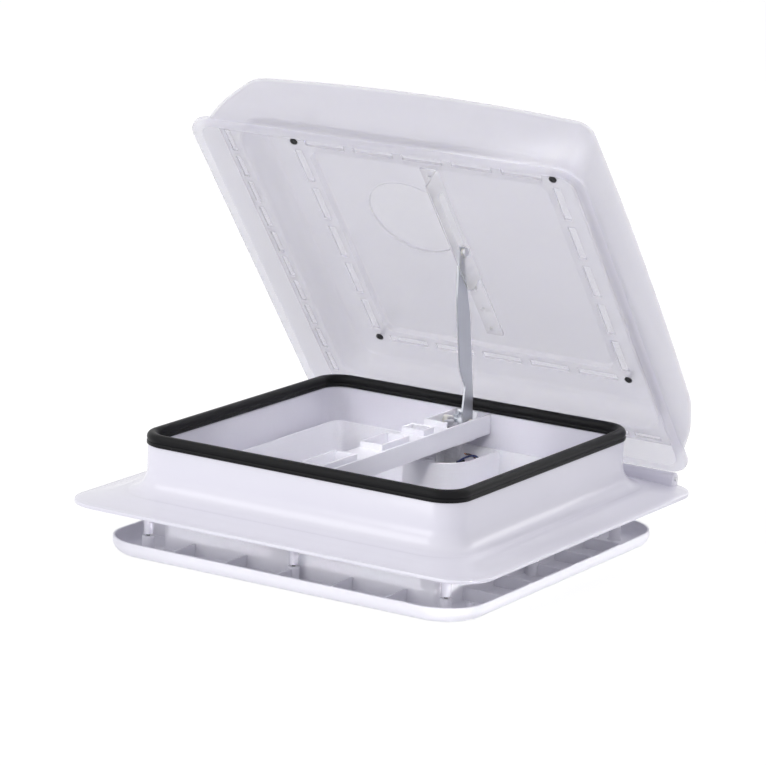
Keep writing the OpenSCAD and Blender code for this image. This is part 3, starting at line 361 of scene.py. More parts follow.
def slab(outline: Sequence[Point2], holes: Sequence[Sequence[Point2]], low: float, high: float,
         edge: float = 0.4) -> bmesh.types.BMesh:
    """A flat plate with holes and eased edges.

    Args:
        outline: The plate's outline in mm.
        holes: Outlines of its holes.
        low: Lower height.
        high: Upper height.
        edge: Edge radius.

    Returns:
        A new bmesh in mm.
    """
    curve = bpy.data.curves.new("slab", "CURVE")
    curve.dimensions = "2D"
    curve.fill_mode = "BOTH"
    for loop in [outline, *holes]:
        spline = curve.splines.new("POLY")
        spline.points.add(len(loop) - 1)
        for point, (x, y) in zip(spline.points, loop):
            point.co = (x, y, 0, 1)
        spline.use_cyclic_u = True
    curve.extrude = (high - low) / 2 - edge
    curve.bevel_depth = edge
    curve.bevel_resolution = 2
    curve.offset = -edge
    holder = bpy.data.objects.new("slab", curve)
    bpy.context.scene.collection.objects.link(holder)
    mesh = bpy.data.meshes.new_from_object(holder.evaluated_get(bpy.context.evaluated_depsgraph_get()))
    bm = bmesh.new()
    bm.from_mesh(mesh)
    bpy.data.objects.remove(holder)
    bpy.data.meshes.remove(mesh)
    bpy.data.curves.remove(curve)
    bmesh.ops.remove_doubles(bm, verts=bm.verts, dist=1e-3)
    bmesh.ops.translate(bm, vec=(0, 0, (low + high) / 2), verts=bm.verts)
    bmesh.ops.recalc_face_normals(bm, faces=bm.faces)
    return bm


def moved(bm: bmesh.types.BMesh, matrix: Matrix) -> bmesh.types.BMesh:
    """Moves a bmesh and returns it."""
    bmesh.ops.transform(bm, matrix=matrix, verts=bm.verts)
    return bm


def shift(x: float, y: float, z: float = 0.0) -> Matrix:
    """A move by x, y and z in mm."""
    return Matrix.Translation((x, y, z))


def mesh_of(name: str, parts: Sequence[bmesh.types.BMesh]) -> bpy.types.Mesh:
    """Joins solids into one mesh.

    Args:
        name: The mesh's name.
        parts: Solids in mm; they are freed.

    Returns:
        A new mesh in metres.
    """
    whole = bmesh.new()
    for part in parts:
        mesh = bpy.data.meshes.new("part")
        part.to_mesh(mesh)
        part.free()
        whole.from_mesh(mesh)
        bpy.data.meshes.remove(mesh)
    bmesh.ops.scale(whole, vec=(MM, MM, MM), verts=whole.verts)
    made = bpy.data.meshes.new(name)
    whole.to_mesh(made)
    whole.free()
    return made


def smooth(mesh: bpy.types.Mesh, sharp: float) -> None:
    """Shades a mesh smooth; edges steeper than an angle in degrees stay sharp."""
    mesh.polygons.foreach_set("use_smooth", [True] * len(mesh.polygons))
    mesh.set_sharp_from_angle(angle=math.radians(sharp))


def piece(name: str, parts: Sequence[bmesh.types.BMesh], body: Body, finish: Finish,
          nodes: Sequence[str] = (), sharp: float = 38.0) -> bpy.types.Object:
    """Makes one object of several solids, dresses it and lets it ride on its body.

    Args:
        name: The piece's name.
        parts: Solids in mm; they are freed.
        body: The body that carries it.
        finish: Its finish.
        nodes: CAD nodes that it stands for.
        sharp: Edges steeper than this angle, in degrees, stay sharp.

    Returns:
        The new object.
    """
    mesh = mesh_of(name, parts)
    smooth(mesh, sharp)
    mesh.materials.append(finish.material())
    made = bpy.data.objects.new(name, mesh)
    bpy.context.scene.collection.objects.link(made)
    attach(made, body.value)
    if nodes:
        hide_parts(*nodes)
    LOG.info("piece %s: %d faces", name, len(mesh.polygons))
    return made


def dress(node: str, finish: Finish, edge: float = 0.0) -> bpy.types.Object:
    """Gives a CAD node its finish and eased edges.

    Args:
        node: The node's name.
        finish: Its finish.
        edge: Edge radius in mm, or 0 for none.

    Returns:
        The node's object.
    """
    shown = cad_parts[node]
    shown.data.materials.clear()
    shown.data.materials.append(finish.material())
    if edge:
        weld = shown.modifiers.new("weld", "WELD")
        weld.merge_threshold = 2e-6
        ease = shown.modifiers.new("ease", "BEVEL")
        ease.width = edge * MM
        ease.segments = 2
        ease.limit_method = "ANGLE"
        ease.angle_limit = math.radians(40)
        ease.harden_normals = True
    LOG.info("node %s: %s", node, finish.name)
    return shown


@dataclass(frozen=True)
class Screw:
    """A screw with a domed head and a cross recess; its head's top looks to -Z.

    Rim and sink are shares of the head's height, the cross's sizes of its radius, and root of the shank's.
    """

    length: float
    head_r: float = 2.8
    head_h: float = 1.8
    shank_d: float = 3.0
    pitch: float = 0.7
    rim: float = 0.62
    cross_w: float = 0.17
    cross_r: float = 0.6
    sink: float = 0.34
    root: float = 0.86
    steps: int = 32
    rings: int = 10

    def domed(self, p: Vector) -> Vector:
        """Lifts a point of the head's plan onto the dome, or sinks it into the cross recess.

        Args:
            p: The point at height 0.

        Returns:
            The point on the head's top.
        """
        share = p.length / self.head_r
        top = self.rim + (1 - self.rim) * math.sqrt(max(0.0, 1 - share ** 2))
        if share < self.cross_r and min(abs(p.x), abs(p.y)) < self.cross_w * self.head_r:
            top -= self.sink
        return Vector((p.x, p.y, -self.head_h * top))

    def solid(self) -> bmesh.types.BMesh:
        """Builds the screw with its head's seat at the origin and the shank along +Z.

        Returns:
            A new bmesh in mm.
        """
        radii = [self.head_r * math.sin(math.pi / 2 * k / self.rings) for k in range(1, self.rings + 1)]
        head = [[self.domed(p) for p in circle(r, 0, self.steps)] for r in radii]
        count = 2 * max(2, int(self.length / self.pitch))
        crest, root = self.shank_d / 2, self.shank_d / 2 * self.root
        shank = [circle(root if k % 2 else crest, self.length * k / count, self.steps)
                 for k in range(count + 1)]
        return loft([*head, circle(self.head_r, 0, self.steps), *shank], caps=True)

    def group(self, name: str, node: str, places: Sequence[Matrix], body: Body, finish: Finish) -> None:
        """Makes one piece of equal screws.

        Args:
            name: The piece's name.
            node: The CAD node that it stands for.
            places: Where the heads' seats go.
            body: The body that carries them.
            finish: Their finish.
        """
        piece(name, [moved(self.solid(), m) for m in places], body, finish, [node], sharp=32)


@dataclass(frozen=True)
class Hinge:
    """The lid's hinge line along X, which the roof moulding and the lid share."""

    y: float = 220.0
    z: float = 11.73
    radius: float = 6.2
    end_ease: float = 0.5
    end_share: float = 0.88

    def swing(self, angle: float) -> Matrix:
        """A turn about the hinge line by an angle in degrees."""
        turn = Matrix.Rotation(math.radians(angle), 4, "X")
        return shift(0, self.y, self.z) @ turn @ shift(0, -self.y, -self.z)

    def knuckle(self, span: Point2, reach: float, rise: int) -> bmesh.types.BMesh:
        """One hinge knuckle: a barrel along X with a web.

        Args:
            span: First and last x.
            reach: Height of the web's far end.
            rise: 1 where the web goes up, -1 where it goes down.

        Returns:
            A new bmesh in mm.
        """
        y, z, r = self.y, self.z, self.radius
        outline = [*arc((y, z), (r, -rise * r), 0, 180, steps=20), (y - r, reach), (y + r, reach)]
        start, stop = span
        ends = ((start, self.end_share), (start + self.end_ease, 1.0),
                (stop - self.end_ease, 1.0), (stop, self.end_share))
        return loft([[Vector((x, y + (py - y) * share, z + (pz - z) * share)) for py, pz in outline]
                     for x, share in ends], caps=True)


HINGE = Hinge()


@dataclass(frozen=True)
class Lamp:
    """A soft lamp of the studio, in metres, watts and degrees."""

    name: str
    place: Point3
    aim: Point3
    size: Point2
    power: float
    spread: float = 180.0

    def hang(self) -> None:
        """Adds the lamp to the scene."""
        data = bpy.data.lights.new(self.name, "AREA")
        data.shape = "RECTANGLE"
        data.size, data.size_y = self.size
        data.energy = self.power
        data.spread = math.radians(self.spread)
        made = bpy.data.objects.new(self.name, data)
        made.location = self.place
        made.rotation_mode = "QUATERNION"
        made.rotation_quaternion = (Vector(self.aim) - Vector(self.place)).to_track_quat("-Z", "Y")
        bpy.context.scene.collection.objects.link(made)


@dataclass
class Studio:
    """Camera of the photograph, soft lamps, white world and floor."""

    azimuth: float = 30.6736561
    elevation: float = 12.8927211
    roll: float = 2.72173396
    distance: float = 3817.522
    aim_right: float = -6.64046
    aim_up: float = 50.5441
    aim_height: float = 64.2
    lens: float = 182.0854
    sensor: float = 36.0
    clip: Point2 = (0.1, 100.0)
    sky: Colour = (0.97, 0.96, 1.0)
    sky_power: float = 0.61
    floor_z: float = -50.25
    floor_reach: float = 30.0
    floor_colour: Colour = (0.93, 0.93, 0.95)
    floor_glow: float = 0.86
    floor_shade: Colour = (0.24, 0.24, 0.24)
    lamps: Sequence[Lamp] = (
        Lamp("key", (-1.3, -1.9, 2.2), (0, 0, 0.05), (1.6, 1.6), 17),
        Lamp("front", (-0.7, -2.9, 0.55), (0, 0, 0.2), (1.3, 1.3), 15),
        Lamp("side", (2.4, -0.7, 1.1), (0, 0, 0.1), (1.5, 1.5), 2.5),
        Lamp("behind", (0.4, 2.6, 1.6), (0, 0.1, 0.2), (1.8, 1.8), 20),
        Lamp("inside", (0.95, -1.45, 1.95), (-0.035, 0.05, 0.06), (0.34, 0.2), 0.09, 1.5),
        Lamp("low", (2.2, -0.9, -0.028), (0, 0, -0.032), (0.5, 0.04), 0.04, 2.0))

    def camera(self) -> None:
        """Makes the camera at the photograph's place."""
        az, el, roll = (math.radians(v) for v in (self.azimuth, self.elevation, self.roll))
        back = Vector((math.sin(az) * math.cos(el), -math.cos(az) * math.cos(el), math.sin(el)))
        flat = Vector((math.cos(az), math.sin(az), 0))
        upright = back.cross(flat)
        right = flat * math.cos(roll) + upright * math.sin(roll)
        up = upright * math.cos(roll) - flat * math.sin(roll)
        aim = right * self.aim_right + up * self.aim_up + Vector((0, 0, self.aim_height))
        eye = back * self.distance + aim
        data = bpy.data.cameras.new("camera")
        data.lens = self.lens
        data.sensor_width = self.sensor
        data.clip_start, data.clip_end = self.clip
        made = bpy.data.objects.new("camera", data)
        turn = Matrix((right, up, back)).transposed().to_4x4()
        made.matrix_world = Matrix.Translation(eye * MM) @ turn
        bpy.context.scene.collection.objects.link(made)
        bpy.context.scene.camera = made

    def light(self) -> None:
        """Adds the lamps and the white world."""
        bpy.context.scene.view_settings.view_transform = "Standard"
        for lamp in self.lamps:
            lamp.hang()
        world = bpy.data.worlds.new("studio")
        bpy.context.scene.world = world
        world.use_nodes = True
        tree = world.node_tree
        sky = tree.nodes["Background"]
        sky.inputs["Color"].default_value = (*self.sky, 1)
        sky.inputs["Strength"].default_value = self.sky_power
        white = add_node(tree, "ShaderNodeBackground", Color=(1, 1, 1, 1), Strength=1.0)
        self._by_ray(tree, sky.outputs["Background"], white.outputs["Background"], "World Output")

    @staticmethod
    def _by_ray(tree: bpy.types.NodeTree, lighting: bpy.types.NodeSocket, seen: bpy.types.NodeSocket,
                output: str) -> None:
        """Shows one shader to camera, mirror and glass rays and another one to all other light.

        Args:
            tree: The node tree.
            lighting: The shader for other light.
            seen: The shader that is seen.
            output: Name of the tree's output node.
        """
        path = tree.nodes.new("ShaderNodeLightPath")
        direct = path.outputs["Is Camera Ray"]
        for kind in ("Is Glossy Ray", "Is Transmission Ray"):
            most = tree.nodes.new("ShaderNodeMath")
            most.operation = "MAXIMUM"
            tree.links.new(direct, most.inputs[0])
            tree.links.new(path.outputs[kind], most.inputs[1])
            direct = most.outputs["Value"]
        mix = tree.nodes.new("ShaderNodeMixShader")
        tree.links.new(direct, mix.inputs["Fac"])
        tree.links.new(lighting, mix.inputs[1])
        tree.links.new(seen, mix.inputs[2])
        tree.links.new(mix.outputs["Shader"], tree.nodes[output].inputs["Surface"])

    def floor(self) -> None:
        """Adds a pale floor that reads as white and keeps a faint shadow."""
        mesh = bpy.data.meshes.new("floor")
        corners = [(sx * self.floor_reach, sy * self.floor_reach, self.floor_z * MM) for sx, sy in CORNERS]
        mesh.from_pydata(corners, [], [(0, 1, 2, 3)])
        made = bpy.data.objects.new("floor", mesh)
        bpy.context.scene.collection.objects.link(made)
        paint = bpy.data.materials.new("pale_floor")
        paint.use_nodes = True
        tree = paint.node_tree
        tree.nodes.remove(tree.nodes["Principled BSDF"])
        plain = add_node(tree, "ShaderNodeBsdfDiffuse", Color=(*self.floor_colour, 1))
        shade = add_node(tree, "ShaderNodeBsdfDiffuse", Color=(*self.floor_shade, 1))
        glow = add_node(tree, "ShaderNodeEmission", Strength=self.floor_glow)
        both = tree.nodes.new("ShaderNodeAddShader")
        tree.links.new(shade.outputs["BSDF"], both.inputs[0])
        tree.links.new(glow.outputs["Emission"], both.inputs[1])
        self._by_ray(tree, plain.outputs["BSDF"], both.outputs["Shader"], "Material Output")
        mesh.materials.append(paint)


@dataclass
class MotorLeads:
    """The motor's two short stiff leads with their bare ends."""

    start: Point3 = (13.0, 125.5, 13.0)
    radius: float = 1.0
    fine: int = 4
    blue: Sequence[Point3] = (
        (0, -3, 0), (3, -3, 0), (7.5, -4.5, -0.5), (12, -5, 0), (16, -3.5, 1), (18.5, 0, 3.5), (17, 3, 7),
        (13.5, 2, 9.5), (10.5, -3, 10), (9, -9.5, 9.5), (8, -16.5, 8.5), (6.5, -23, 6), (4, -28.5, 2),
        (0.5, -33, -4), (-3, -36.5, -10.5), (-5.5, -39, -17), (-7, -40, -24), (-7.5, -40.5, -30.5))
    brown: Sequence[Point3] = (
        (0, 3, 0), (2, 3, 0), (4.2, 3.4, 0.1), (6.2, 4.6, 0.4), (7.8, 6.4, 0.9), (8.6, 8.7, 1.6),
        (8.6, 11.1, 2.5), (7.6, 13.1, 3.5), (5.8, 14, 4.6), (4, 13.4, 5.8), (2.9, 11.5, 6.9),
        (2.6, 9.2, 7.8), (2.6, 6.8, 8.5), (2.7, 4.5, 9), (2.9, 2.5, 9.5), (3, 0.5, 10.2))

    def route(self, steps: Sequence[Point3]) -> list[Vector]:
        """Smooths route points into a close row of points.

        Args:
            steps: Route points counted from the grommet.

        Returns:
            Points in metres.
        """
        base = [Vector(self.start) + Vector(p) for p in steps]
        points: list[Vector] = []
        for k in range(len(base) - 1):
            a, b = base[max(k - 1, 0)], base[k]
            c, d = base[k + 1], base[min(k + 2, len(base) - 1)]
            for j in range(self.fine):
                t = j / self.fine
                bend = (c - a) * t + (2 * a - 5 * b + 4 * c - d) * t * t + (3 * b - a - 3 * c + d) * t ** 3
                points.append(b + bend / 2)
        points.append(base[-1])
        return [p * MM for p in points]

    def lead(self, name: str, node: str, steps: Sequence[Point3], finish: Finish) -> None:
        """Makes one lead as a round cord.

        Args:
            name: The piece's name.
            node: The CAD node that it stands for.
            steps: Its route.
            finish: The sleeve's finish.
        """
        points = self.route(steps)
        data = bpy.data.curves.new(name, "CURVE")
        data.dimensions = "3D"
        data.bevel_depth = self.radius * MM
        data.bevel_resolution = 4
        data.use_fill_caps = True
        spline = data.splines.new("POLY")
        spline.points.add(len(points) - 1)
        for place, p in zip(spline.points, points):
            place.co = (*p, 1)
        spline.use_smooth = True
        data.materials.append(finish.material())
        made = bpy.data.objects.new(name, data)
        bpy.context.scene.collection.objects.link(made)
        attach(made, Body.BASE.value)
        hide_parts(node)

    def build(self) -> None:
        """Makes both leads and dresses their ends."""
        ends = dress("lead_tips", COPPER)
        self.lead("blue_lead", "lead_blue", self.blue, BLUE)
        self.lead("brown_lead", "lead_brown", self.brown, BROWN)


@dataclass(frozen=True)
class RoofFrame:
    """The white roof moulding: flange, hollow curve, collar, posts, shelves and hinge knuckles."""

    flange_half: float = 231.5
    flange_r: float = 38.0
    flange_edge: Sequence[Point2] = (
        (-0.5, 0.0), (-0.15, 0.15), (0.0, 0.5), (0.0, 2.7), (-0.2, 3.25), (-0.7, 3.55))
    slope: Sequence[Ring] = (
        (226.0, 36.5, 4.15), (220.0, 38.0, 5.05), (214.0, 41.5, 6.5), (207.0, 46.5, 8.9))
    collar_half: float = 179.0
    collar_r: float = 29.0
    collar_h: float = 58.0
    collar_ease: float = 1.0
    wall: float = 8.0
    lip: float = 3.0
    cove_r: float = 22.0
    cove_t: float = 4.0
    under_from: float = 200.0
    rise: float = 11.0
    post_r: float = 4.75
    post_bore: float = 2.05
    post_depth: float = 12.0
    post_len: float = 32.5
    post_top: float = 16.0
    post_ease: float = 0.6
    post_draft: float = 0.25
    shelf: Sequence[Point3] = ((-18, 162, 26.5), (1, 172, 36.5))
    shelf_edge: float = 0.8
    knuckles: Sequence[Point2] = ((-207, -126), (-45, 45), (126, 207))
    web_z: float = 3.8

    def section(self) -> list[Ring]:
        """The moulding's closed section: underside, edge, slope, hollow curve and collar.

        Returns:
            Half width, corner radius and height of each point.
        """
        centre = self.collar_half - self.collar_r
        inner = self.collar_half - self.wall
        lip = inner + self.lip
        foot = self.collar_half + self.cove_r
        hub = (foot, self.rise + self.cove_r)
        below = self.cove_r + self.cove_t
        under = arc(hub, (below, below), self.under_from, 270, steps=8)
        over = arc(hub, (self.cove_r, self.cove_r), 270, 180, steps=18)
        inside = [(inner, 0.0), (lip, 0.0), (lip, under[0][1]), *under, (foot, 0.0)]
        edge = [(self.flange_half + x, z) for x, z in self.flange_edge]
        top, ease = self.collar_h, self.collar_ease
        collar = [(self.collar_half, top - ease), (self.collar_half - 0.3 * ease, top - 0.3 * ease),
                  (self.collar_half - ease, top), (inner + ease, top), (inner, top - ease)]
        return [*ringed(inside, centre), *ringed(edge, self.flange_half - self.flange_r), *self.slope,
                *ringed([*over, *collar], centre)]

    def post(self) -> bmesh.types.BMesh:
        """A screw post with its hollow foot.

        Returns:
            A new bmesh in mm, on the Z axis.
        """
        r, bore, ease = self.post_r, self.post_bore, self.post_ease
        wide = r + self.post_draft
        foot, top = -self.post_len, self.post_top
        depth = foot + self.post_depth
        return lathe([(0, depth), (bore, depth), (bore, foot), (r - ease, foot),
                      (r - ease / 4, foot + ease / 4), (r, foot + ease), (wide, 0), (wide, top - ease),
                      (r - ease, top), (0, top)], steps=28)

    def build(self) -> None:
        """Makes the roof moulding."""
        parts = [swept(self.section())]
        parts += [moved(self.post(), shift(x, y)) for x, y in POSTS]
        low, high = (Vector(p) for p in self.shelf)
        for side in (1, -1):
            near, far = sorted((side * low.y, side * high.y))
            parts.append(soft_box((low.x, near, low.z), (high.x, far, high.z), self.shelf_edge))
        parts += [HINGE.knuckle(span, self.web_z, rise=-1) for span in self.knuckles]
        piece("roof_moulding", parts, Body.BASE, WHITE, ["roof_frame"])


@dataclass
class RimSeal:
    """The black rubber seal on the collar."""

    seat: RoofFrame = RoofFrame()
    foot_h: float = 3.6
    foot_w: float = 10.5
    ease: float = 0.5
    lip: float = 0.6
    bulb_r: float = 5.3
    bulb_rise: float = 6.7
    bulb_turn: Point2 = (-33.0, 213.0)

    def build(self) -> None:
        """Makes the seal as one swept rubber section."""
        middle = self.seat.collar_half - self.seat.wall / 2
        inner, outer = middle - self.foot_w / 2, middle + self.foot_w / 2
        low, ease, lip = self.seat.collar_h, self.ease, self.lip
        top = low + self.foot_h
        hub = (middle, low + self.bulb_rise)
        bulb = arc(hub, (self.bulb_r, self.bulb_r), *self.bulb_turn, steps=26)
        section = [(inner + ease, low), (outer - ease, low), (outer, low + ease), (outer, top - lip),
                   (outer - ease, top), *bulb, (inner + ease, top), (inner, top - lip), (inner, low + ease)]
        solid = swept(ringed(section, self.seat.collar_half - self.seat.collar_r))
        piece("rubber_seal", [solid], Body.BASE, RUBBER, ["rim_seal"], sharp=50)


@dataclass
class CeilingTrim:
    """The white ceiling trim: tray, ribs, bosses, neck, deck and well, with its screws."""

    half: float = 206.0
    corner_r: float = 45.0
    rim_z: float = -34.2
    low_z: float = -50.2
    wall: float = 2.5
    edge_r: float = 12.0
    soft: float = 0.5
    ease: float = 0.6
    overlap: float = 0.4
    neck_half: float = 160.0
    neck_r: float = 12.0
    neck_top: float = 24.5
    neck_lip: float = 0.8
    neck_fillet: float = 2.0
    open_half: float = 143.5
    open_back: float = 46.0
    open_r: float = 6.0
    well_r: float = 38.0
    well_y: float = 104.0
    boss_r: float = 6.0
    boss_bore: float = 2.1
    boss_flare: float = 1.2
    boss_head_r: float = 4.3
    boss_top: float = -34.0
    stud_at: Point2 = (182.0, -145.0)
    stud_r: float = 4.0
    stud_bore: float = 1.6
    stud_h: float = 6.5
    pillar_r: float = 8.0
    pillar_bore: float = 2.6
    pillar_in: float = 7.0
    rib_pitch: float = 60.0
    rib_t: float = 3.0
    rib_h: float = 12.0
    rib_ease: float = 0.35
    screw_z: float = -47.8

    @property
    def floor(self) -> float:
        """Height of the tray's floor."""
        return self.low_z + self.wall

    def section(self) -> list[Ring]:
        """The tray's and neck's closed section.

        Returns:
            Half width, corner radius and height of each point.
        """
        hub = (self.half - self.edge_r, self.low_z + self.edge_r)
        inner_r = self.edge_r - self.wall
        skin, rim, soft, ease = self.half - self.wall, self.rim_z, self.soft, self.ease
        bore, out, fillet = self.neck_half - self.wall, self.neck_half, self.neck_fillet
        top, lip = self.neck_top, self.neck_top - self.neck_lip
        outside = [(self.half - ease, rim), (self.half, rim - ease),
                   *arc(hub, (self.edge_r, self.edge_r), 0, -90, steps=10)]
        neck = [(bore, self.low_z), (bore, lip), (bore + soft, top), (out - soft, top), (out, lip),
                (out, self.floor + fillet), (out + ease, self.floor + ease), (out + fillet, self.floor)]
        inside = [*arc(hub, (inner_r, inner_r), -90, 0, steps=8), (skin, rim - soft), (skin + soft, rim)]
        centre = self.half - self.corner_r
        return [*ringed(outside, centre), *ringed(neck, self.neck_half - self.neck_r),
                *ringed(inside, centre)]

    def well_line(self, r: float, back: float) -> list[Point2]:
        """Outline of the well seen from above: a round end of radius r and a straight one at back."""
        return [(r, back), (-r, back), *arc((0, self.well_y), (r, r), 180, 360, steps=28)]

    def floor_plate(self) -> bmesh.types.BMesh:
        """The plate inside the neck with the screen's opening and the well's mouth.

        Returns:
            A new bmesh in mm.
        """
        bore = self.neck_half - self.wall
        edge = (bore + self.overlap, self.neck_r - self.wall, 0)
        outline = [(p.x, p.y) for p in rounded_loop(edge, corner_steps=10, side_steps=1)]
        r = self.open_r
        x, back, front = self.open_half - r, self.open_back - r, r - self.open_half
        corners = ((x, back), (-x, back), (-x, front), (x, front))
        opening = [p for k, corner in enumerate(corners)
                   for p in arc(corner, (r, r), 90 * k, 90 * k + 90, steps=6)]
        well = self.well_line(self.well_r - self.wall, bore - self.ease)
        return slab(outline, [opening, well], self.low_z, self.floor)

    def boss(self) -> bmesh.types.BMesh:
        """A hollow boss under a post, with a flared foot round the screw's head.

        Returns:
            A new bmesh in mm, on the Z axis.
        """
        r, bore, head, soft = self.boss_r, self.boss_bore, self.boss_head_r, self.soft
        flare, low, top = r + self.boss_flare, self.low_z + 0.2, self.boss_top
        section = [(bore, low + 2.5), (bore, top - 0.4), (bore + 0.4, top), (r - soft, top), (r, top - soft),
                   (r, low + 4.0), (flare, low + 2.4), (flare, low), (head, low), (head, low + 2.3)]
        return loft([circle(radius, z, steps=28) for radius, z in section], closed=True)

    def stud(self) -> bmesh.types.BMesh:
        """A small hollow stud on the tray's floor.

        Returns:
            A new bmesh in mm, on the Z axis.
        """
        r, bore, low, top = self.stud_r, self.stud_bore, self.floor, self.floor + self.stud_h
        return lathe([(0, top - 4.0), (bore, top - 4.0), (bore, top - 0.4), (bore + 0.4, top),
                      (r - 0.4, top), (r, top - 0.4), (r + 0.3, low - 0.5), (0, low - 0.5)], steps=24)

    def pillar(self) -> bmesh.types.BMesh:
        """The hollow pillar in the well.

        Returns:
            A new bmesh in mm, on the Z axis.
        """
        r, bore, low, top = self.pillar_r, self.pillar_bore, self.low_z, self.neck_top + 1
        return lathe([(0, low), (r - 0.4, low), (r, low + 0.6), (r, top - 1.0), (r - 0.8, top),
                      (bore + 0.4, top), (bore, top - 0.4), (bore, top - 6), (0, top - 6)], steps=28)

    def rib(self) -> bmesh.types.BMesh:
        """A rib across the tray, from the neck to the rim.

        Returns:
            A new bmesh in mm, in the middle of the far side.
        """
        near, far, low = self.neck_half - 1, self.half, self.floor - 0.6
        top = self.floor + self.rib_h
        line = [(near, low), (far - 8.4, low), (far - 2.2, self.floor + 5.2), (far - 1.6, top - 1.2),
                (far - 6, top), (near, top)]
        flank, ridge = self.rib_t / 2, self.rib_t * 0.3
        sides = ((-flank, top - self.rib_ease), (-ridge, top), (ridge, top), (flank, top - self.rib_ease))
        return loft([[Vector((x, y, min(z, most))) for y, z in line] for x, most in sides], caps=True)

    def build(self) -> None:
        """Makes the trim as one moulding, and its screws."""
        inner_r, bore = self.well_r - self.wall, self.neck_half - self.wall
        outer = self.well_line(self.well_r, self.neck_half - 1)
        inner = self.well_line(inner_r, bore - self.overlap)
        well = slab(outer, [inner], self.low_z + 0.1, self.neck_top, 0.5)
        parts = [swept(self.section()), self.floor_plate(), well]
        parts += [moved(self.boss(), shift(x, y)) for x, y in POSTS]
        parts += [moved(self.stud(), turn @ shift(*self.stud_at)) for turn in QUARTERS]
        parts.append(moved(self.pillar(), shift(0, self.well_y - inner_r + self.pillar_in)))
        parts += [moved(self.rib(), turn @ shift(k * self.rib_pitch, 0))
                  for turn in QUARTERS for k in range(-2, 3)]
        piece("trim_moulding", parts, Body.BASE, TRIM_WHITE, ["inner_trim"])
        places = [shift(x, y, self.screw_z) for x, y in POSTS]
        screw = Screw(length=33.3, head_r=4.0, head_h=2.4, shank_d=4.0, pitch=1.4)
        screw.group("trim_fixings", "trim_screws", places, Body.BASE, BLACKED)


@dataclass
class FlyScreen:
    """The net in its frame on the trim's lip."""

    half: float = 154.0175
    bar: float = 9.0
    back: float = 57.0
    tuck: float = 2.8
    net_z: float = -45.8
    pitch: float = 2.6
    strand: float = 0.55
    weave: float = 0.7
    screw_in: float = 3.5
    screw_z: float = -43.2

    def spaced(self, low: float, high: float) -> list[float]:
        """Evenly spaced places of strands from low to high."""
        count = int((high - low) / self.pitch)
        return [low + (high - low) * k / count for k in range(count + 1)]

    def net(self) -> bmesh.types.BMesh:
        """The net's strands, those along Y lying on those along X.

        Returns:
            A new bmesh in mm.
        """
        side = self.half - self.bar + self.tuck
        front, rear = -side, self.back - self.bar + self.tuck
        t, z = self.strand, self.net_z + self.strand / 2
        middle = (front + rear) / 2
        strands = [((x, middle, z + t * self.weave), (t, rear - front, t)) for x in self.spaced(-side, side)]
        strands += [((0, y, z), (2 * side, t, t)) for y in self.spaced(front, rear)]
        bm = bmesh.new()
        for place, size in strands:
            made = bmesh.ops.create_cube(bm, size=1)["verts"]
            bmesh.ops.transform(bm, matrix=shift(*place) @ Matrix.Diagonal((*size, 1)), verts=made)
        return bm

    def build(self) -> None:
        """Makes the woven net and the screws, and dresses the frame."""
        piece("screen_net", [self.net()], Body.BASE, NET, ["screen_mesh"])
        dress("screen_frame", WHITE, edge=0.5)
        side = self.half - self.screw_in
        places = [shift(x, y, self.screw_z) @ FLIP
                  for x in (-side, side) for y in (-side, self.back - self.screw_in)]
        Screw(length=5.8).group("screen_fixings", "screen_screws", places, Body.BASE, STEEL)


@dataclass
class LiftDrive:
    """The beam with its motor, worm, sector gear, arm and knob."""

    motor: Point2 = (-3.0, 125.5)
    motor_screw: Point3 = (13.0, 13.5, 33.5)
    beam_screw_x: Point2 = (-13.5, -3.5)
    beam_screw_y: float = 166.5
    beam_screw_z: float = 39.0
    knob_screw_z: float = -42.4
    dressed: Sequence[tuple[str, Finish, float]] = (
        ("cross_beam", TRIM_WHITE, 0.5), ("lift_motor", MOTOR, 0.5), ("lead_grommet", RUBBER, 0.5),
        ("pivot_pin", STEEL, 0.3), ("pivot_clip", BLACKED, 0.15), ("pivot_spacers", NYLON, 0.3),
        ("hinge_rod", STEEL, 0.4), ("worm_shaft", WORM, 0.0), ("hand_knob", KNOB, 0.5),
        ("lift_arm", ZINC, 0.25), ("sector_gear", ZINC, 0.15), ("arm_rivets", STEEL, 0.3),
        ("tip_pin", STEEL, 0.4), ("slide_roller", NYLON, 0.3))

    def build(self) -> None:
        """Dresses the drive's nodes and makes its screws."""
        for node, finish, edge in self.dressed:
            dress(node, finish, edge)
        x, y = self.motor
        dx, dy, z = self.motor_screw
        motor = [shift(x + sx * dx, y + sy * dy, z) for sx in (-1, 1) for sy in (-1, 1)]
        Screw(length=5.4).group("motor_fixings", "motor_screws", motor, Body.BASE, STEEL)
        beam = [shift(bx, side * self.beam_screw_y, self.beam_screw_z) @ FLIP
                for bx in self.beam_screw_x for side in (-1, 1)]
        Screw(length=9.3).group("beam_fixings", "beam_screws", beam, Body.BASE, STEEL)
        knob = [shift(x, y, self.knob_screw_z)]
        Screw(length=1.9).group("knob_fixing", "knob_screw", knob, Body.SHAFT, STEEL)


@dataclass(frozen=True)
class DashRow:
    """A row of dashes along one side of the lid's panel, where it is thinner."""

    at: float
    long: float
    wide: float
    pitch: float
    count: int


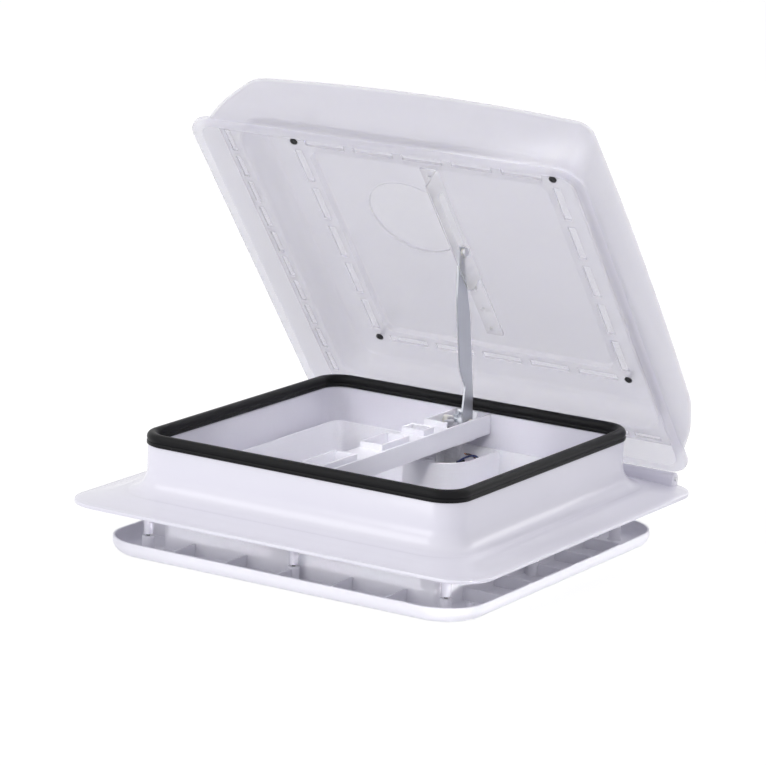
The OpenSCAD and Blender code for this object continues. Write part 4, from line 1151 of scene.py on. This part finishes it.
@dataclass
class Lid:
    """The frosted lid: crowned shell, inner panel, rail, disc and hinge leaves, drawn shut, then opened."""

    open_angle: float = 51.0
    wall: float = 2.5
    brim_half: float = 222.0
    brim_r: float = 28.0
    brim_z: float = 20.4
    brim_t: float = 4.0
    brim_fillet: Point2 = (3.6, 3.2)
    dome_half: float = 213.0
    dome_r: float = 18.0
    dome_steps: Steps = (16, 22)
    wall_lean: float = 0.1
    knee_z: float = 60.4
    knee_ease: float = 12.0
    side_lean: float = 26.0
    rim_ease: float = 16.0
    top_z: float = 124.4
    crown_r: float = 1700.0
    wall_steps: int = 4
    knee_steps: int = 6
    shoulder_steps: int = 3
    rim_steps: int = 7
    crown_steps: int = 14
    boss_r: Point2 = (5.0, 5.6)
    boss_top: float = 110.0
    panel_z: float = 70.4
    panel_half: float = 190.0
    panel_r: float = 26.0
    panel_low: float = 42.4
    panel_steps: Steps = (12, 8)
    foot_half: float = 207.9
    foot_r: float = 12.9
    foot_blend: Sequence[Point2] = ((200.0, 16.5), (193.0, 21.5))
    bend_r: float = 3.0
    cove: Point2 = (14.0, 22.0)
    cove_corner: float = 9.0
    field_half: float = 135.0
    field_r: float = 12.0
    field_h: float = 6.0
    inner_dashes: DashRow = DashRow(at=147.35, long=45.4, wide=9.0, pitch=55.9, count=5)
    outer_dashes: DashRow = DashRow(at=199.5, long=30.2, wide=7.0, pitch=37.2, count=10)
    dash_cut: Point2 = (-2.0, 3.4)
    dash_skin: Point2 = (0.9, 2.1)
    dash_grow: float = 0.1
    disc_at: Point2 = (-43.0, -49.0)
    disc_d: float = 102.0
    rail_foot: Sequence[Point2] = ((-9.0, -130.0), (10.2, 115.0))
    window_in: float = 1.0
    window_z: Point2 = (-2.0, 4.0)
    cut_edge: float = 0.3
    leaves: Sequence[Point2] = ((-125, -46), (46, 125))
    leaf_gap: float = 0.05
    shank: Sequence[Point2] = ((0, 1.9), (1.5, 1.9), (1.5, 11.2), (0.7, 12), (0, 12))
    rail_screw_x: float = -1.0
    rail_screw_y: Sequence[float] = (-120, 45, 75, 105)
    rail_screw_z: float = 3.0
    leaf_screw_x: Sequence[float] = (-30, 0, 30)
    leaf_screw_y: float = 217.2

    def opened(self) -> Matrix:
        """The move from the shut lid to the open one."""
        return HINGE.swing(-self.open_angle)

    def at_corners(self, height: float) -> list[Matrix]:
        """Places on the open lid, at a height, where the inner rows of dashes meet at their corners."""
        at = self.inner_dashes.at
        return [self.opened() @ shift(sx * at, sy * at, height) for sx, sy in CORNERS]

    def crown(self, x: float, y: float, inset: float) -> float:
        """Height of the crowned top over x and y, set in by a wall."""
        r = self.crown_r - inset
        return self.top_z - self.crown_r + math.sqrt(r * r - x * x - y * y)

    def dome_loops(self, inset: float) -> list[list[Vector]]:
        """Loops of one skin of the dome: upright wall, sloped sides, eased rim and crown.

        Args:
            inset: Distance inside the outer skin.

        Returns:
            The loops from the brim up to near the middle of the top, each with as many points.
        """
        start = self.brim_z + self.brim_t
        foot_half = self.dome_half - inset
        knee_half = foot_half - self.wall_lean * (self.knee_z - start)
        end_half = foot_half - self.wall_lean * (self.top_z - start)
        knee_r = self.dome_r - inset - self.wall_lean * (self.knee_z - start)
        foot = rounded_loop((foot_half, self.dome_r - inset, start), *self.dome_steps)
        knee = rounded_loop((knee_half, knee_r, self.knee_z), *self.dome_steps)
        narrow = Matrix.Diagonal(((knee_half - self.side_lean) / end_half, 1, 1))
        head = [narrow @ p for p in rounded_loop((end_half, knee_r, self.top_z), *self.dome_steps)]
        rims = [self.rim_point(k, h, inset) for k, h in zip(knee, head)]
        sections = [self.section(*points, inset) for points in zip(foot, knee, rims)]
        return [list(loop) for loop in zip(*sections)]

    def rim_point(self, knee: Vector, head: Vector, inset: float) -> Vector:
        """Where a shoulder line meets the crown.

        Args:
            knee: The line's lower end.
            head: Its upper end.
            inset: Distance inside the outer skin.

        Returns:
            The meeting point.
        """
        low, high, halvings = 0.0, 1.0, 30
        for _ in range(halvings):
            middle = (low + high) / 2
            p = knee.lerp(head, middle)
            low, high = (middle, high) if p.z < self.crown(p.x, p.y, inset) else (low, middle)
        return knee.lerp(head, low)

    def section(self, foot: Vector, knee: Vector, rim: Vector, inset: float) -> list[Vector]:
        """One upright section of a skin, from the brim to near the middle of the crown.

        Args:
            foot: Point on the brim.
            knee: Point between wall and shoulder.
            rim: Point between shoulder and crown.
            inset: Distance inside the outer skin.

        Returns:
            The section's points.
        """
        inward = Vector((-rim.x, -rim.y, 0)).normalized()
        landing = rim + inward * self.rim_ease
        landing.z = self.crown(landing.x, landing.y, inset)
        below = knee + (foot - knee).normalized() * self.knee_ease
        above = knee + (rim - knee).normalized() * self.knee_ease
        edge = rim + (knee - rim).normalized() * self.rim_ease
        points = [foot.lerp(below, k / self.wall_steps) for k in range(self.wall_steps)]
        points += [self.eased(below, knee, above, k / self.knee_steps) for k in range(self.knee_steps + 1)]
        points += [above.lerp(edge, k / self.shoulder_steps) for k in range(1, self.shoulder_steps)]
        points += [self.eased(edge, rim, landing, k / self.rim_steps) for k in range(self.rim_steps)]
        for k in range(self.crown_steps):
            share = 1 - k / self.crown_steps
            x, y = landing.x * share, landing.y * share
            points.append(Vector((x, y, self.crown(x, y, inset))))
        return points

    @staticmethod
    def eased(start: Vector, corner: Vector, end: Vector, share: float) -> Vector:
        """A point on the curve that eases a corner."""
        return start * (1 - share) ** 2 + corner * (2 * share * (1 - share)) + end * share ** 2

    def brim_rings(self) -> list[Ring]:
        """The brim from the inner wall's foot round its edge to the outer wall's foot.

        Returns:
            Half width, corner radius and height of each point.
        """
        half, low, high = self.brim_half, self.brim_z, self.brim_z + self.brim_t
        edge = [(half - 1.0, low), (half - 0.2, low + 0.5), (half, low + 1.3), (half, high - 1.3),
                (half - 0.3, high - 0.4), (half - 1.2, high)]
        rise = self.brim_fillet[1]
        fillet = arc((self.dome_half + 3.0, high + rise), self.brim_fillet, 270, 200, steps=5)
        centre = self.dome_half - self.dome_r
        foot = [(self.dome_half - self.wall, low)]
        return [*ringed(foot, centre), *ringed(edge, half - self.brim_r), *ringed(fillet, centre)]

    def shell(self) -> None:
        """Makes the crowned shell with its brim, and the bosses inside it."""
        skirt = [rounded_loop(ring, *self.dome_steps) for ring in self.brim_rings()]
        loops = [*reversed(self.dome_loops(self.wall)), *skirt, *self.dome_loops(0.0)[1:]]
        bm = loft(loops)
        count = len(loops[0])
        for first, inset in (((len(loops) - 1) * count, 0.0), (0, self.wall)):
            middle = bm.verts.new((0, 0, self.crown(0, 0, inset)))
            bm.verts.ensure_lookup_table()
            for k in range(count):
                bm.faces.new((bm.verts[first + k], bm.verts[first + (k + 1) % count], middle))
        bmesh.ops.recalc_face_normals(bm, faces=bm.faces)
        piece("lid_dome", [moved(bm, self.opened())], Body.LID, FROSTED, ["lid_shell"])
        foot, (foot_r, top_r) = self.panel_z + self.wall, self.boss_r
        boss = [(0, foot), (foot_r, foot), (top_r, self.boss_top), (0, self.boss_top)]
        bosses = [moved(lathe(boss, steps=24), place) for place in self.at_corners(0)]
        piece("lid_bosses", bosses, Body.LID, THIN)

    def panel_under(self) -> list[Ring]:
        """The panel's underside, from the foot over the cove to the raised field.

        Returns:
            Half width, corner radius and height of each point.
        """
        low, z, top = self.panel_low, self.panel_z, self.panel_z + self.field_h
        bore, centre = self.panel_half - self.wall, self.panel_half - self.panel_r
        bend = arc((bore + self.bend_r, low + self.bend_r), (self.bend_r, self.bend_r), 270, 180, steps=5)
        wide, high = self.cove
        cove = arc((bore - wide, z - high), self.cove, 0, 90, steps=10)
        f = self.field_half
        step = [(f + 1.2, z), (f + 0.3, z + 0.35), (f, z + 1.2), (f - 0.6, top - 1.2), (f - 1.0, top - 0.4),
                (f - 1.8, top)]
        foot = [(self.foot_half, low + 0.5), (self.foot_half - 0.5, low)]
        blend = [(half, r, low) for half, r in self.foot_blend]
        curve = [(half, max(half - centre, self.cove_corner), height) for half, height in cove]
        return [*ringed(foot, self.foot_half - self.foot_r), *blend, *ringed(bend, centre), *curve,
                *ringed(step, f - self.field_r)]

    def panel_over(self) -> list[Ring]:
        """The panel's upper side, from the raised field out to the foot.

        Returns:
            Half width, corner radius and height of each point.
        """
        low, z = self.panel_low + self.wall, self.panel_z + self.wall
        top, f, p = z + self.field_h, self.field_half, self.panel_half
        step = [(f + self.wall, top - 0.4), (f + self.wall, z)]
        side = [(p - 12, z), (p - 3, z - 3), (p, self.panel_z - 10), (p, low)]
        return [(f - 1.0, self.field_r, top), *ringed(step, f - self.field_r),
                *ringed(side, p - self.panel_r), (self.foot_half, self.foot_r, low)]

    def panel(self) -> None:
        """Makes the inner panel with its field and dashes, open behind the disc and the rail."""
        rings = [*reversed(self.panel_under()), *reversed(self.panel_over())]
        bm = loft([rounded_loop(ring, *self.panel_steps) for ring in rings], caps=True)
        made = piece("lid_lining", [moved(bm, self.opened())], Body.LID, PANEL, ["lid_panel"], sharp=30)
        low, high = (self.panel_z + self.field_h + z for z in self.window_z)
        r, inside = self.disc_d / 2 - self.window_in, Vector((self.window_in, self.window_in, 0))
        disc = lathe([(0, low), (r, low), (r, high), (0, high)], steps=64)
        start, stop = self.rail_foot
        rail = soft_box(Vector((*start, low)) + inside, Vector((*stop, high)) - inside, self.cut_edge)
        # The rail's window overlaps the disc's, so it is cut by itself
        behind_disc = moved(disc, self.opened() @ shift(*self.disc_at))
        self.recess(made, [*self.dashes(*self.dash_cut), behind_disc])
        self.recess(made, [moved(rail, self.opened())])
        piece("lid_dashes", self.dashes(*self.dash_skin, self.dash_grow), Body.LID, THIN)

    def dashes(self, low: float, high: float, grow: float = 0.0) -> list[bmesh.types.BMesh]:
        """Blocks in the places of the two rows of dashes.

        Args:
            low: Underside of the blocks above the panel's underside.
            high: Their upper side.
            grow: How far they reach beyond the dashes.

        Returns:
            One bmesh each, in mm, on the open lid.
        """
        made = []
        for row, z in ((self.inner_dashes, self.panel_z), (self.outer_dashes, self.panel_low)):
            a, b = row.long / 2 + grow, row.wide / 2 + grow
            for turn in QUARTERS:
                for k in range(row.count):
                    x = (k - (row.count - 1) / 2) * row.pitch
                    start, stop = (x - a, -row.at - b, z + low), (x + a, -row.at + b, z + high)
                    made.append(moved(soft_box(start, stop, self.cut_edge), self.opened() @ turn))
        return made

    @staticmethod
    def recess(made: bpy.types.Object, cutters: Sequence[bmesh.types.BMesh]) -> None:
        """Cuts recesses into a piece.

        Args:
            made: The piece.
            cutters: Cutting solids in mm; they are freed.
        """
        mesh = mesh_of("cutters", cutters)
        tool = bpy.data.objects.new("cutters", mesh)
        bpy.context.scene.collection.objects.link(tool)
        cut = made.modifiers.new("cut", "BOOLEAN")
        cut.object = tool
        cut.operation = "DIFFERENCE"
        cut.solver = "EXACT"
        bpy.context.view_layer.update()
        result = bpy.data.meshes.new_from_object(made.evaluated_get(bpy.context.evaluated_depsgraph_get()))
        made.modifiers.clear()
        old = made.data
        made.data = result
        smooth(result, sharp=12)
        bpy.data.objects.remove(tool)
        bpy.data.meshes.remove(mesh)
        bpy.data.meshes.remove(old)

    def knuckles(self) -> None:
        """Makes the hinge leaves under the brim."""
        reach = self.brim_z - self.leaf_gap
        parts = [moved(HINGE.knuckle(span, reach, rise=1), self.opened()) for span in self.leaves]
        piece("lid_leaves", parts, Body.LID, LEAVES, ["hinge_leaves"])

    def fixings(self) -> None:
        """Makes the screws of the panel, the rail and the leaves."""
        corners = self.at_corners(self.panel_z)
        Screw(length=2.1, head_r=4.0).group("panel_fixings", "panel_screws", corners, Body.LID, BLACKED)
        shanks = [moved(lathe(self.shank, steps=16), place) for place in corners]
        piece("panel_shanks", shanks, Body.LID, STEEL)
        rail = [self.opened() @ shift(self.rail_screw_x, y, self.panel_z + self.rail_screw_z)
                for y in self.rail_screw_y]
        Screw(length=5.5).group("rail_fixings", "rail_screws", rail, Body.LID, FAINT)
        leaf = [self.opened() @ shift((a + b) / 2 + x, self.leaf_screw_y, self.brim_z + self.brim_t) @ FLIP
                for a, b in self.leaves for x in self.leaf_screw_x]
        Screw(length=8.8).group("leaf_fixings", "leaf_screws", leaf, Body.LID, STEEL)

    def build(self) -> None:
        """Makes the whole lid and dresses its fittings."""
        self.shell()
        self.panel()
        self.knuckles()
        dress("slide_rail", CLEAR, edge=0.35)
        dress("lid_disc", DISC, edge=0.2)
        self.fixings()


def main() -> None:
    """Builds the scene's pieces in order."""
    logging.basicConfig(level=logging.INFO, format="%(name)s: %(message)s")
    studio = Studio()
    studio.camera()
    builders: Sequence[Callable[[], None]] = (
        MotorLeads().build, studio.light, studio.floor, RoofFrame().build, RimSeal().build,
        CeilingTrim().build, FlyScreen().build, LiftDrive().build, Lid().build)
    for build in builders:
        build()


if __name__ == "__main__":
    main()
